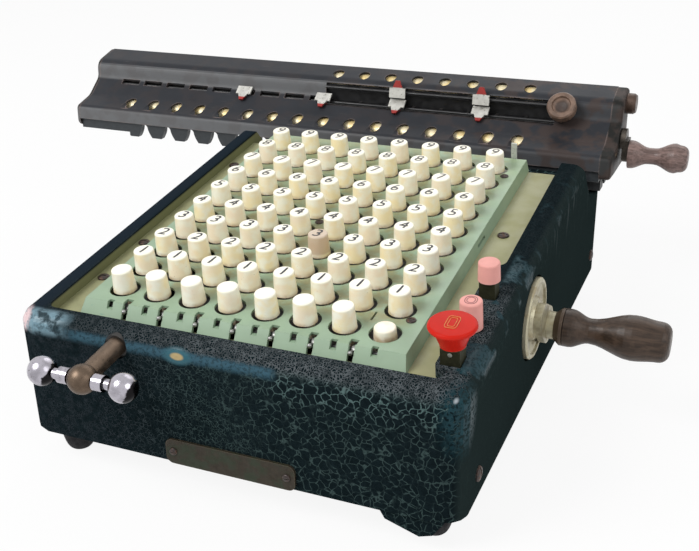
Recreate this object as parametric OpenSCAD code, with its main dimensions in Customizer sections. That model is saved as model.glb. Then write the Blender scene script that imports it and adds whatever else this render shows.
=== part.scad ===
// Full-keyboard desk calculator with a sliding carriage, a side crank and a front shift handle.
// The machine stands on its feet at Z = 0. X runs along the carriage, Y runs to the back.
// Inside the modules X = 0 is the case's left wall and Y = 0 is its front face.

/* [Keyboard] */
// Distance between two key columns, dials and rack teeth
key_pitch = 19; // [18:0.5:21]
// Distance between two key rows, measured along the sloping deck
row_pitch = 19.4; // [18.5:0.1:21]
// Slope of the keyboard deck in degrees
deck_tilt = 6.4; // [4:0.2:9]
// Diameter of a key cap at its top
cap_top_d = 9.8; // [8.6:0.1:10.8]
// Diameter of a key cap at its foot
cap_foot_d = 11.3; // [11:0.1:12.8]
// Height of a key cap above the keyboard plate
cap_h = 11; // [8:0.5:14]
// Diameter of the key holes in the keyboard plate
key_hole_d = 14.8; // [14:0.1:16]
// Travel of a column-clear key
clear_travel = 7.5; // [5:0.5:7.5]
// Thickness of a key stem
stem_t = 1.6; // [1.2:0.1:2]
// Depth of a key stem along the column
stem_l = 5; // [4:0.5:7]
// Thickness of the keyboard plate
plate_t = 1.2; // [0.8:0.1:2]
// Plate edge beyond the outer columns
plate_margin = 14; // [12:0.5:16]
// Thickness of the bed round the keyboard plate
bed_t = 1.5; // [1:0.1:2.5]

/* [Case] */
// Case wall to the centre of the first column
left_margin = 41.6; // [40:0.2:48]
// Centre of the last column to the right outer wall
right_margin = 46; // [44:0.5:54]
// Front face to the centre of the front key row
front_margin = 34; // [32:0.5:44]
// Height of the front face
case_front_h = 60; // [59:0.5:66]
// Thickness of the case's walls
case_wall = 2.5; // [2:0.1:3.5]
// Thickness of the rim round the keyboard well
rim_t = 6; // [5:0.5:7]
// Width of the rim on the left
rim_left = 12.9; // [10:0.1:14]
// Width of the rim on the right, behind the function keys
rim_right = 12.5; // [11:0.5:14]
// Width of the rim at the front
rim_front = 10.4; // [10:0.1:12]
// Rounding of the upright corners
corner_r = 11; // [6:0.5:14]
// Rounding of the top edges
edge_r = 8; // [4:0.5:9]
// Height of the feet
foot_h = 18.5; // [12:0.5:24]
// Diameter of the feet where they meet the base
foot_d = 18; // [14:0.5:24]
// Case walls below the base plate
skirt = 2.2; // [1:0.1:4]

/* [Crank] */
// Front face to the crank's axis
crank_y = 117; // [112:1:125]
// Case's bottom edge to the crank's axis
crank_h = 41; // [40:0.5:44]
// Diameter of the crank disc
disc_d = 41; // [34:1:46]
// Distance between the disc's axis and the grip's axis
crank_throw = 13; // [8:0.5:14]
// Direction of the grip below the horizontal, in degrees
grip_angle = 36; // [0:1:60]
// Length of the crank's grip
grip_l = 51; // [40:1:60]
// Diameter of the grip at its thickest place
grip_d = 22.6; // [18:0.2:24]

/* [Shift handle] */
// First key column to the shift shaft's axis
shift_offset = 16; // [13:0.5:16.5]
// Distance the handle stands out of the front face
shift_reach = 25.3; // [22:0.1:36]
// Distance between the two balls
ball_span = 42; // [36:0.5:52]
// Diameter of the balls
ball_d = 13.4; // [12:0.2:16]

/* [Carriage] */
// Gap between the keyboard deck and the carriage's front lip
carriage_gap = 39; // [38.5:0.5:44]
// Underside of the lip above the case's bottom edge
carriage_h = 68.8; // [68:0.2:70]
// Gap between the case's rear walls and the underside of the lip
rear_gap = 17.3; // [16.3:0.1:22]
// Carriage beyond the outermost dial on the left
end_left = 45.6; // [30:0.2:60]
// Carriage beyond the outermost dial on the right
end_right = 55.4; // [54:0.2:66]
// Thickness of the carriage cover
cover_t = 1.5; // [1:0.1:2]
// Offset of the dials from the key columns
dial_shift = -5.2; // [-6:0.1:-4]
// Diameter of the lower dial windows
window_d = 7.6; // [7:0.1:10]
// Radius of the numeral wheels in the lower row
lower_wheel_r = 5.9; // [5:0.1:6]
// Radius of the numeral wheels in the upper row
upper_wheel_r = 5.5; // [4.5:0.1:5.6]
// Thickness of the rack
rack_t = 4; // [3:0.1:4.4]
// Radius of the pinion's pins
pin_r = 2.2; // [1.6:0.1:2.4]

/* [Fits] */
// Radial clearance of a shaft in its bush
run_fit = 0.05; // [0.02:0.01:0.1]
// Clearance round a part that passes through a hole
pass_fit = 0.4; // [0.3:0.05:0.5]
// Clearance between the carriage and its rail
slide_fit = 0.3; // [0.2:0.05:0.5]
// Gap between a wheel and the shaft it is pinned to
press_gap = 0.1; // [0.05:0.05:0.2]

/* [Hidden] */
$fn = 48;

columns = 8;
digit_rows = 9;
dials_left = 8;
pressed_column = 8;
pinion_pins = 4;
far = 400;
eps = 0.01;

case_w = left_margin + (columns - 1) * key_pitch + right_margin;
deck_rear = digit_rows * row_pitch + 20.4;
case_bottom = foot_h;
wall_low = case_bottom - skirt;
rim_drop = 0.8;
front_top = case_bottom + case_front_h;
deck_z = front_top + front_margin * tan(deck_tilt) + rim_drop / cos(deck_tilt);
deck_end_y = front_margin + deck_rear * cos(deck_tilt);
rim_end_z = front_top + deck_end_y * tan(deck_tilt);
carriage_y = deck_end_y + carriage_gap;
case_d = carriage_y + 28.2;
rear_top = case_bottom + carriage_h - rear_gap;
well_y = carriage_y - 6;
bed_top = -rim_drop - rim_t;
fold_h = -bed_top;
front_fold_y = -12.5;
fold_run = 5;
last_x = (columns - 1) * key_pitch;

// Function keys, as places on the deck
func_x = last_x + right_margin - 12.4;
red_y = -9.5;
pink_front_y = 16.5;
pink_rear_y = 44.5;

// Stems
stem_shift = 2.5;
stem_low = -14;
guide_top = -9.3;
guide_t = 1;

// Frames
frame_t = 2.5;
frame_left_x = 14.5;
frame_right_x = case_w - 7;
frame_top = bed_top - bed_t;
base_t = 2;

// Crank and drums
crank_z = case_bottom + crank_h;
gear_teeth = 16;
gear_m = 1.5;
gear_r = gear_teeth * gear_m / 2;
drum_z = crank_z - 2 * gear_r;
drum_r = 14;
drum_w = 11;
selector_y = crank_y + 19;
grip_y = crank_y + crank_throw * cos(grip_angle);
grip_z = crank_z - crank_throw * sin(grip_angle);
disc_x = case_w - 2;
disc_t = 4.3;
arm_t = 3.5;
neck_t = 3.5;
flange_t = 4.6;
grip_x = disc_x + disc_t + arm_t + neck_t + flange_t + 0.4;
pin_d = 6;

// Carriage
lip_z = case_bottom + carriage_h;
carriage_left = left_margin - dials_left * key_pitch - end_left;
carriage_right = left_margin + last_x + end_right;
end_t = 3;
casting_t = 7;
cover_left = carriage_left + end_t;
cover_right = carriage_right - casting_t;
pitch_line = lip_z - 3.2;
pinion_r = pinion_pins * key_pitch / (2 * PI);
shift_z = pitch_line - pinion_r;
shift_x = left_margin + shift_offset;
joint_y = 6;
tooth_depth = 6.9;
plain_depth = 3.9;
rack_phase = -5;
rack_y = carriage_y + 2;
shaft_d = 9;
inner_shaft_d = 4;
bar_top = shift_z - 14;
bar_h = 8;
lower_wheel = [carriage_y + 19, lip_z + 6];
upper_wheel = [carriage_y + 46.3, lip_z + 31.3];
wheel_w = 13;
wheel_shaft_d = 4;
lower_window = [carriage_y + 11.5, lip_z + 12.2];
upper_window = [carriage_y + 41.2, lip_z + 37.4];
knob_base = [carriage_y + 29.3, lip_z + 27.1];
knob_tilt = 50;
knob_x = left_margin + last_x + key_pitch;
clear_axis = [carriage_y + 32, lip_z + 12.7];
clear_throw = 9.5;
clear_grip_l = 35.5;
clear_grip_d = 18.3;
rail_y = carriage_y + 22.5;
rail_head_top = lip_z - 8.3;
rail_head_t = 3;
rail_head_w = 13;

// The whole machine's box, used to put the origin at its bottom centre
origin_x = (carriage_left + grip_x + grip_l) / 2;
origin_y = (-shift_reach - ball_d / 2 + carriage_y + 54) / 2;

function unit(v) = v / norm(v);

// Arc that rounds corner b of the path a-b-c with radius r
function round_corner(a, b, c, r, n = 8) =
    r <= 0 ? [b] :
    let (u = unit(a - b), v = unit(c - b),
         half = acos(u * v) / 2,
         s = b + u * r / tan(half), e = b + v * r / tan(half),
         m = b + unit(u + v) * r / sin(half),
         a0 = atan2(s[1] - m[1], s[0] - m[0]),
         turn = atan2(e[1] - m[1], e[0] - m[0]) - a0,
         sweep = turn > 180 ? turn - 360 : turn < -180 ? turn + 360 : turn)
    [for (i = [0:n]) m + r * [cos(a0 + sweep * i / n), sin(a0 + sweep * i / n)]];

// Closed outline with the radius rs[i] at corner pts[i]
function rounded(pts, rs) =
    let (n = len(pts))
    [for (i = [0:n - 1]) each round_corner(pts[(i + n - 1) % n], pts[i], pts[(i + 1) % n], rs[i])];

// Corner b of a clockwise outline moved inwards by t
function inset_corner(a, b, c, t) =
    let (d1 = unit(b - a), d2 = unit(c - b),
         n1 = [d1[1], -d1[0]], n2 = [d2[1], -d2[0]])
    b + (n1 + n2) * t / (1 + n1 * n2);

function inset_outline(pts, t) =
    let (n = len(pts))
    [for (i = [0:n - 1]) inset_corner(pts[(i + n - 1) % n], pts[i], pts[(i + 1) % n], t)];

module at_origin() translate([-origin_x, -origin_y, 0]) children();

// Deck frame: first column and front row at [0, 0], Z = 0 on top of the keyboard plate
module on_deck() translate([left_margin, front_margin, deck_z]) rotate([deck_tilt, 0, 0]) children();

// A profile of [y, z] points stretched from x0 to x1
module along_x(x0, x1) translate([x0, 0, 0]) rotate([90, 0, 90]) linear_extrude(x1 - x0) children();

// A cylinder along X, and one along Y, from a first to a last value
module rod_x(x0, x1, y, z, d) translate([x0, y, z]) rotate([0, 90, 0]) cylinder(h = x1 - x0, d = d);
module rod_y(y0, y1, x, z, d) translate([x, y0, z]) rotate([-90, 0, 0]) cylinder(h = y1 - y0, d = d);

// Frame of the handle's shaft: it crosses the rear shaft's axis at [0, 0, 0]
module on_shift_axis() translate([shift_x, joint_y, shift_z]) rotate([deck_tilt, 0, 0]) children();

module box(x0, x1, y0, y1, z0, z1) translate([x0, y0, z0]) cube([x1 - x0, y1 - y0, z1 - z0]);

module rounded_plan(x0, x1, y0, y1, r)
    polygon(rounded([[x0, y0], [x0, y1], [x1, y1], [x1, y0]], [r, r, r, r]));

// Case

module case_outline() {
    polygon(rounded(
        [[0, wall_low], [0, front_top], [deck_end_y, rim_end_z], [well_y, rear_top],
         [case_d, rear_top], [case_d, wall_low]],
        [0, edge_r, 3, 0, 0, 0]));
}

module case_cavity_outline() {
    drop = rim_t / cos(deck_tilt);
    w = case_wall;
    slope_w = case_wall * 1.45;
    polygon([[w, wall_low - 1], [w, front_top + w * tan(deck_tilt) - drop],
             [deck_end_y - slope_w, rim_end_z - slope_w * tan(deck_tilt) - drop],
             [well_y - slope_w, rear_top - w], [case_d - w, rear_top - w],
             [case_d - w, wall_low - 1]]);
}

// Space inside a rounded edge that runs across a front corner at an angle
module front_corner(side, turn) {
    drop = atan(tan(deck_tilt) * sin(turn));
    arc = [corner_r - edge_r, -rim_drop - edge_r];
    y = (corner_r - front_margin) / cos(deck_tilt);
    on_deck() translate([(side == 1 ? case_w - corner_r : corner_r) - left_margin, y, 0])
        rotate([0, 0, side == 1 ? -turn : turn - 180]) rotate([90, 0, 0])
            linear_extrude(2 * far, center = true)
                polygon(concat([[-far, -rim_drop]],
                    [for (i = [0:8]) let (a = 90 - (90 - drop) * i / 8) arc + edge_r * [cos(a), sin(a)]],
                    [arc + edge_r * [cos(drop), sin(drop)] + far * [sin(drop), -cos(drop)],
                     [-far, -far * cos(drop)]]));
}

// Cheek of the front wall that covers the right front foot
module foot_cheek() {
    x = case_w - foot_inset;
    translate([0, case_wall - 0.3, 0]) rotate([90, 0, 0]) linear_extrude(case_wall - 0.9)
        polygon([[x - 20, wall_low + 3], [x - 20, wall_low], [x - 17.6, wall_low * 0.74],
                 [x - 2, wall_low * 0.42], [x + 4, wall_low * 0.55], [x + 9, wall_low],
                 [x + 9, wall_low + 3]]);
}

module case_shell() {
    color([0.07, 0.10, 0.12]) {
        foot_cheek();
        difference() {
            intersection() {
                along_x(0, case_w) case_outline();
                linear_extrude(far) rounded_plan(0, case_w, 0, case_d, corner_r);
                on_deck() translate([0, far, 0]) rotate([90, 0, 0]) linear_extrude(2 * far)
                    polygon(rounded(
                        [[-left_margin, -far], [-left_margin, -rim_drop],
                         [case_w - left_margin, -rim_drop], [case_w - left_margin, -far]],
                        [0, edge_r, edge_r, 0]));
                front_corner(0, 22.5);
                front_corner(0, 45);
                front_corner(0, 67.5);
                front_corner(1, 22.5);
                front_corner(1, 45);
                front_corner(1, 67.5);
            }
            intersection() {
                along_x(case_wall, case_w - case_wall) case_cavity_outline();
                linear_extrude(far)
                    rounded_plan(case_wall, case_w - case_wall, case_wall, case_d - case_wall,
                                 corner_r - case_wall);
            }
            on_deck() translate([0, 0, bed_top - bed_t - 2]) linear_extrude(far) well_outline();
            // Well under the carriage, and the way for the shift shaft
            box(12, case_w - 4.5, well_y - 5, case_d - case_wall - 1, rear_top - 20, far);
            box(shift_x - 4.5, shift_x + 4.5, deck_end_y - 4, well_y, shift_z - 5, shift_z + 5);
            // Shift shaft, crank disc and function keys
            on_shift_axis() rod_y(-12, 0.5, 0, 0, shaft_d + 2.6);
            rod_y(joint_y - 1.4, rim_front + 1, shift_x, shift_z, shaft_d + 3.4);
            rod_x(case_w - case_wall - 1, case_w + 1, crank_y, crank_z, disc_d + 2.4);
            function_key_holes();
        }
    }
}

// Keyboard well, with the rim swung out round the function keys
module well_outline() {
    x0 = rim_left - left_margin;
    x1 = case_w - rim_right - left_margin;
    y0 = rim_front - front_margin;
    lobe = func_x - 6.3;
    polygon(rounded(
        [[x0, y0], [x0, far], [x1, far], [x1, pink_rear_y + 30], [lobe, pink_rear_y + 23],
         [lobe, red_y - 5.5], [x1, red_y - 8], [x1, y0]],
        [5, 0, 0, 5, 5, 2, 2, 4]));
}

module function_key_holes() {
    hole = red_post + pass_fit * 2;
    pink_hole = pink_stem + pass_fit * 2;
    on_deck() {
        translate([func_x, red_y, -5]) cube([hole, hole, 14], center = true);
        translate([func_x, pink_front_y, -12]) cylinder(h = 14, d = pink_d + 0.7);
        translate([func_x, pink_rear_y, -5]) cube([pink_hole, pink_hole, 14], center = true);
    }
}

module base_plate() {
    gap = 0.2;
    inset = case_wall + gap;
    color([0.2, 0.2, 0.2])
    translate([0, 0, case_bottom]) linear_extrude(base_t)
        rounded_plan(inset, case_w - inset, inset, case_d - inset, corner_r - inset);
}

foot_inset = 16.5;

module feet() {
    color([0.04, 0.04, 0.045])
    for (x = [foot_inset, case_w - foot_inset], y = [foot_inset, case_d - foot_inset])
        translate([x, y, 0]) rotate_extrude()
            polygon(concat([[0, 0]],
                [for (a = [0:10:90]) [foot_d * (0.25 + 0.25 * sin(a)), foot_h * (1 - cos(a))]],
                [[0, foot_h]]));
}

module name_plate() {
    color([0.32, 0.24, 0.15])
    translate([0, 0, case_bottom - 2.4]) rotate([90, 0, 0]) linear_extrude(1.2)
        rounded_plan(plate_x0, plate_x0 + plate_w, 0, plate_tall, 3.5);
}

plate_x0 = 79.6;
plate_w = 65.6;
plate_tall = 12.9;

// Round-headed screw or rivet whose head stands on z = 0
module screw_head(d, h) {
    difference() {
        rotate_extrude() polygon(concat([[0, 0], [d / 2, 0]],
            [for (a = [0:15:90]) [d / 2 * cos(a), h * 0.3 + h * 0.7 * sin(a)]]));
        translate([0, 0, h]) cube([d + 1, d * 0.14, h], center = true);
    }
}

module case_screws() {
    for (x = [plate_x0 + 4, plate_x0 + plate_w - 4])
        translate([x, -1.2, case_bottom + 4.2]) rotate([90, 0, 0]) screw_head(3.8, 1.2);
    for (p = [[24, 10], [case_d - 20, 11]], side = [0, 1])
        translate([side * case_w, p[0], case_bottom + p[1]])
            rotate([0, side == 1 ? 90 : -90, 0]) screw_head(7, 1.8);
}

// Keyboard

module keyboard_bed() {
    under = 3;
    x0 = rim_left - left_margin - under;
    x1 = case_w - rim_right - left_margin + under;
    y0 = rim_front - front_margin - under;
    color([0.55, 0.56, 0.36])
    on_deck() difference() {
        box(x0, x1, y0, deck_rear - 5, bed_top - bed_t, bed_top);
        translate([0, 0, bed_top - bed_t - 1]) {
            box(-plate_margin + 1.5, last_x + plate_margin - 1.5, -15.5, deck_rear - 12, 0, far);
            box(shift_offset - 6.4, shift_offset + 6.4, y0 - 1, y0 + under + 0.4, 0, far);
            box(shift_offset - 2.6, shift_offset + 2.6, y0 - 1, -15, 0, far);
            box(func_x - 5.6, far, red_y - 8, pink_rear_y + 8, 0, far);
        }
    }
}

module plate_body(t) {
    side_run = 1.5;
    x0 = -plate_margin + t;
    x1 = last_x + plate_margin - t;
    y0 = front_fold_y + t;
    base = bed_top - (t > 0 ? 1 : 0);
    grow = (-t - base) / fold_h;
    intersection() {
        translate([0, plate_rear + t, 0]) rotate([90, 0, 0]) linear_extrude(far)
            polygon([[x0, -t], [x1, -t], [x1 + side_run * grow, base], [x0 - side_run * grow, base]]);
        translate([-far / 2, 0, 0]) along_x(0, far)
            polygon([[y0, -t], [far, -t], [far, base], [y0 - fold_run * grow, base]]);
    }
}

module keyboard_plate() {
    color([0.64, 0.80, 0.66])
    on_deck() difference() {
        plate_body(0);
        plate_body(plate_t);
        for (c = [0:columns - 1], r = [0:digit_rows])
            translate([c * key_pitch, r * row_pitch, -plate_t - 1])
                cylinder(h = plate_t + 2, d = key_hole_d);
        for (c = [1:columns - 1]) translate([tab_x(c), 0, 0]) {
            box(-slot_w / 2, slot_w / 2, front_fold_y - fold_run - 1, front_fold_y + 3, bed_top - 1, 1);
            box(-slot_w * 0.65, slot_w * 0.65, front_fold_y + 0.6, front_fold_y + 4.2, -plate_t - 1, 1);
        }
        for (c = [0:columns - 1])
            translate([c * key_pitch, front_fold_y - fold_run * 0.22, bed_top * 0.22])
                cube([3, 6, 3], center = true);
        // Slits beside the last clear key and in the right edge
        box(last_x - 10.3, last_x - 9.3, 8, 15.1, -plate_t - 1, 1);
        box(last_x + plate_margin - 2, last_x + plate_margin + 3, row_pitch * 4.7, row_pitch * 5.3,
            -4.4, -2.8);
    }
}

slot_w = 2.8;
plate_rear = deck_rear - 3.4;
function tab_x(c) = (c - 0.55) * key_pitch;

// Screw places: on the plate, and on the bed
plate_screws = [[key_pitch * 7.39, row_pitch * 0.65], [key_pitch * 7.4, row_pitch * 8.6],
                [key_pitch * 3.3, row_pitch * 4.55], [-key_pitch * 0.5, row_pitch * 8.5]];
bed_screws = [[key_pitch * 8.16, row_pitch * 5.75], [-key_pitch * 1.28, row_pitch * 0.8],
              [-key_pitch * 1.28, row_pitch * 2.75], [-key_pitch * 1.28, row_pitch * 8]];

module screws() {
    color([0.35, 0.3, 0.26]) {
        on_deck() {
            for (p = plate_screws) translate([p[0], p[1], 0]) screw_head(4.6, 1);
            for (p = bed_screws) translate([p[0], p[1], bed_top]) screw_head(6, 1.4);
        }
        case_screws();
    }
}

module column_marker() {
    color([0.75, 0.76, 0.74])
    on_deck() box(key_pitch * 7.25, key_pitch * 7.25 + 3.2, plate_rear + 0.6, plate_rear + 1.7, bed_top, 9);
}

// Keys

// Foot of a cap below the plate's surface
cap_sink = 0.3;

module key_cap() {
    top_r = cap_top_d / 2;
    rotate_extrude() polygon(concat(
        [[0, -cap_sink], [cap_foot_d / 2, -cap_sink], [cap_foot_d / 2 - 0.1, 0.6]],
        round_corner([cap_foot_d / 2 - 0.1, 0.6], [top_r, cap_h], [0, cap_h], 0.9, 4),
        [[top_r * 0.7, cap_h - 0.1], [0, cap_h - 0.3]]));
}

module key_stem() translate([stem_shift - stem_t / 2, -stem_l / 2, stem_low])
    cube([stem_t, stem_l, -stem_low - cap_sink + eps]);

module digit_keys(c) {
    color([0.93, 0.88, 0.72])
    on_deck() for (r = [1:digit_rows])
        translate([(c - 1) * key_pitch, r * row_pitch, 0]) {
            key_cap();
            key_stem();
        }
}

module clear_key(c) {
    color([0.93, 0.89, 0.76])
    on_deck() translate([(c - 1) * key_pitch, 0, c == pressed_column ? -clear_travel : 0]) {
        key_cap();
        key_stem();
    }
}

red_post = 8.6;
red_d = 21;
pink_d = 10.4;
pink_stem = 7.4;

module red_key() {
    color([0.80, 0.08, 0.06])
    on_deck() translate([func_x, red_y, 0]) {
        rotate_extrude() polygon(concat(
            [[0, 6.6], [5.6, 6.6], [5.6, 7.4], [red_d * 0.4, 14.8]],
            [for (a = [-90:15:90]) [red_d / 2 - 1.3 + 1.3 * cos(a), 16.3 + 1.3 * sin(a)]],
            [[0, 17.9]]));
        translate([-red_post / 2, -red_post / 2, -9]) cube([red_post, red_post, 16]);
    }
}

module pink_cap(low, top) {
    rotate_extrude() polygon(concat([[0, low], [pink_d / 2, low]],
        round_corner([pink_d / 2, low], [pink_d / 2 - 0.2, top], [0, top], 0.8, 4), [[0, top]]));
}

module pink_key_front() {
    color([0.93, 0.62, 0.62])
    on_deck() translate([func_x, pink_front_y, 0]) {
        pink_cap(-0.6, 13);
        translate([-2, -2, -10]) cube([4, 4, 9.5]);
    }
}

module pink_key_rear() {
    color([0.93, 0.62, 0.60])
    on_deck() translate([func_x, pink_rear_y, 0]) {
        pink_cap(7.4, 16.6);
        translate([-pink_stem / 2, -pink_stem / 2, -10]) cube([pink_stem, pink_stem, 17.5]);
    }
}

// Column tabs: small levers that swing in the front slots on a rod under the plate
tab_pivot = [-10, -4.6];
tab_rod_d = 3;
tab_ball = [-15.2, -2.6];

module column_tab(c) {
    w = 1.5;
    reach = tab_ball - tab_pivot;
    color([0.75, 0.76, 0.78])
    on_deck() translate([tab_x(c), 0, 0]) difference() {
        union() {
            rod_x(-w / 2, w / 2, tab_pivot[0], tab_pivot[1], tab_rod_d + 2);
            translate([-0.55, tab_pivot[0], tab_pivot[1]])
                rotate([atan2(reach[1], reach[0]), 0, 0])
                    translate([0, 0, -0.6]) cube([1.1, norm(reach), 1.2]);
            translate([0, tab_ball[0], tab_ball[1]]) sphere(d = slot_w - 0.6);
        }
        rod_x(-5, 5, tab_pivot[0], tab_pivot[1], tab_rod_d + 2 * run_fit);
    }
}

// Inside frame

module frame_outline() {
    s = tan(deck_tilt);
    y0 = case_wall + 11;
    z0 = case_bottom + base_t;
    top0 = deck_z + (y0 - front_margin) * s + frame_top / cos(deck_tilt);
    y1 = deck_end_y - 8;
    top1 = deck_z + (y1 - front_margin) * s + frame_top / cos(deck_tilt);
    rear = rear_top - case_wall - 0.5;
    polygon([[y0, z0], [y0, top0], [y1, top1], [y1 + 4, rear], [case_d - case_wall - 1, rear],
             [case_d - case_wall - 1, z0]]);
}

module side_frames() {
    color([0.45, 0.45, 0.46])
    difference() {
        intersection() {
            union() for (x = [frame_left_x, frame_right_x]) along_x(x, x + frame_t) frame_outline();
            linear_extrude(far)
                rounded_plan(case_wall + 0.5, case_w - case_wall - 0.5, case_wall + 0.5,
                             case_d - case_wall - 0.5, corner_r - case_wall);
        }
        rod_x(0, case_w, crank_y, drum_z, bush_d);
        rod_x(0, case_w, selector_y, drum_z, bush_d);
        rod_x(case_w / 2, case_w, crank_y, crank_z, bush_d);
    }
}

bush_d = 12;
frame_rods = [[30, 40], [172, 46], [240, 34]];

module tie_rods() {
    x0 = frame_left_x + frame_t;
    color([0.6, 0.6, 0.6]) {
        for (p = frame_rods) rod_x(x0, frame_right_x, p[0], p[1], 6);
        on_deck() rod_x(0.5 - plate_margin, last_x + plate_margin - 0.5, tab_pivot[0], tab_pivot[1],
                        tab_rod_d);
        box(x0, frame_right_x, carriage_y - 9, carriage_y - 1, bar_top - bar_h, bar_top);
    }
}

module key_guide_plate() {
    x0 = frame_left_x + frame_t - left_margin;
    x1 = frame_right_x - left_margin;
    slot_x = stem_t + 2 * pass_fit;
    slot_y = stem_l + 2 * pass_fit;
    color([0.5, 0.5, 0.5])
    on_deck() difference() {
        box(x0, x1, -7, deck_rear - 14, guide_top - guide_t, guide_top);
        for (c = [0:columns - 1], r = [0:digit_rows])
            translate([c * key_pitch + stem_shift, r * row_pitch, guide_top])
                cube([slot_x, slot_y, 4], center = true);
        box(shift_offset - 3.3, shift_offset + 3.3, -20, 5 * row_pitch, guide_top - 3, guide_top + 3);
        for (y = [red_y, pink_front_y, pink_rear_y])
            translate([func_x, y, guide_top]) cube([12, 12, 4], center = true);
    }
}

// Flanged bush along X with its flange outside
module bush_x(x0, x1, y, z, bore) {
    difference() {
        union() {
            rod_x(x0, x1, y, z, bush_d);
            rod_x(x0 < case_w / 2 ? x1 : x0 - 1.5, x0 < case_w / 2 ? x1 + 1.5 : x0, y, z, bush_d + 4);
        }
        rod_x(x0 - 5, x1 + 5, y, z, bore);
    }
}

module shaft_bushes() {
    drum_bore = drum_shaft_d + 2 * run_fit;
    color([0.72, 0.58, 0.3]) {
        for (x = [frame_left_x, frame_right_x]) {
            bush_x(x, x + frame_t, crank_y, drum_z, drum_bore);
            bush_x(x, x + frame_t, selector_y, drum_z, selector_d + 2 * run_fit);
        }
        bush_x(frame_right_x, frame_right_x + frame_t, crank_y, crank_z, crank_shaft_d + 2 * run_fit);
        // Front bush of the shift shaft, in the case's front
        on_shift_axis() difference() {
            rod_y(-5.2, -1.6, 0, 0, shaft_d + 2.6);
            rod_y(-6, 0, 0, 0, shaft_d + 2 * run_fit);
        }
        // Rear bearing block of the shift shaft, on the cross bar
        difference() {
            box(shift_x - 7, shift_x + 7, carriage_y - 9, carriage_y - 1, bar_top, shift_z + 4.3);
            rod_y(carriage_y - 10, carriage_y, shift_x, shift_z, inner_shaft_d + 2 * run_fit);
        }
    }
}

// Crank and counting drums

crank_shaft_d = 8;
drum_shaft_d = 8;
selector_d = 5;

module toothed_wheel(teeth, m, w, turn) {
    r = teeth * m / 2;
    step = 360 / teeth;
    linear_extrude(w) polygon([for (i = [0:teeth - 1], k = [0:5])
        let (f = [-0.3, -0.22, -0.12, 0.12, 0.22, 0.3][k],
             rk = [r - 1.2 * m, r, r + 0.8 * m, r + 0.8 * m, r, r - 1.2 * m][k],
             a = turn + step * (i + f))
        rk * [cos(a), sin(a)]]);
}

gear_x = frame_right_x - 9;
gear_w = 6;

// Flat arm with round ends of radius r1 and r2
module crank_arm(x0, x1, r1, r2) {
    lean = acos((r1 - r2) / crank_throw);
    a = [-grip_angle - lean, -grip_angle + lean];
    rod_x(x0, x1, crank_y, crank_z, 2 * r1);
    rod_x(x0, x1, grip_y, grip_z, 2 * r2);
    along_x(x0, x1) polygon([
        [crank_y + r1 * cos(a[0]), crank_z + r1 * sin(a[0])],
        [grip_y + r2 * cos(a[0]), grip_z + r2 * sin(a[0])],
        [grip_y + r2 * cos(a[1]), grip_z + r2 * sin(a[1])],
        [crank_y + r1 * cos(a[1]), crank_z + r1 * sin(a[1])]]);
}

module crank_disc() {
    r = disc_d / 2;
    neck_x = disc_x + disc_t + arm_t;
    color([0.70, 0.62, 0.45]) {
        translate([disc_x, crank_y, crank_z]) rotate([0, 90, 0]) rotate_extrude()
            polygon([[0, 0], [r, 0], [r, disc_t - 1], [r - 0.8, disc_t - 0.2], [r - 2.2, disc_t - 0.2],
                     [r - 3, disc_t - 1.2], [r * 0.55, disc_t - 2.2], [r * 0.5, disc_t], [0, disc_t]]);
        rod_x(gear_x, disc_x + 0.5, crank_y, crank_z, crank_shaft_d);
        translate([gear_x, crank_y, crank_z]) rotate([0, 90, 0])
            toothed_wheel(gear_teeth, gear_m, gear_w, 0);
        // Arm from the disc's middle to the grip's pin, with a neck and a flange
        crank_arm(disc_x + disc_t - eps, neck_x, 8, 9.5);
        rod_x(neck_x - eps, neck_x + neck_t, grip_y, grip_z, 14);
        translate([neck_x + neck_t, grip_y, grip_z]) rotate([0, 90, 0]) {
            cylinder(h = flange_t - 1.6, d1 = 14, d2 = 19);
            translate([0, 0, flange_t - 1.6]) cylinder(h = 1.6, d = 19);
        }
        rod_x(neck_x, grip_x + grip_l - 6, grip_y, grip_z, pin_d);
    }
}

// Smooth turned outline through the stations [length, radius]
function turned(st) = [for (i = [0:len(st) - 2], k = [0:5])
    [st[i][1] + (st[i + 1][1] - st[i][1]) * (1 - cos(30 * k)) / 2,
     st[i][0] + (st[i + 1][0] - st[i][0]) * k / 6]];

// Wooden grip of length l through the stations, with its end rounded by end_r
module turned_grip(l, stations, end_r, bore) {
    end = stations[len(stations) - 1][1];
    difference() {
        rotate_extrude() polygon(concat([[0, 0]], turned(stations),
            [for (a = [0:15:90]) [end - end_r + end_r * cos(a), l - end_r + end_r * sin(a)]],
            [[0, l]]));
        translate([0, 0, -1]) cylinder(h = l - 3, d = bore);
    }
}

module crank_grip() {
    r = grip_d / 2;
    l = grip_l;
    color([0.24, 0.15, 0.11])
    translate([grip_x, grip_y, grip_z]) rotate([0, 90, 0])
        turned_grip(l, [[0, 0.85 * r], [0.05 * l, 0.85 * r], [0.24 * l, 0.56 * r], [0.65 * l, r],
                        [l - 5, 0.885 * r]], 5, pin_d + 2 * run_fit);
}

module drum_shaft() {
    color([0.6, 0.6, 0.62]) {
        rod_x(frame_left_x - 1, frame_right_x + frame_t + 1, crank_y, drum_z, drum_shaft_d);
        translate([gear_x, crank_y, drum_z]) rotate([0, 90, 0])
            toothed_wheel(gear_teeth, gear_m, gear_w, 180 / gear_teeth);
    }
}

// Stepped drum: nine teeth, each a little shorter than the one before
module stepped_drum() {
    difference() {
        union() {
            cylinder(h = drum_w, r = drum_r - 3);
            for (i = [1:9]) rotate([0, 0, 18 * i])
                translate([drum_r - 3.5, -1, 0]) cube([3.5, 2, drum_w * (0.1 + 0.09 * i)]);
        }
        translate([0, 0, -1]) cylinder(h = drum_w + 2, d = drum_shaft_d);
    }
}

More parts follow.
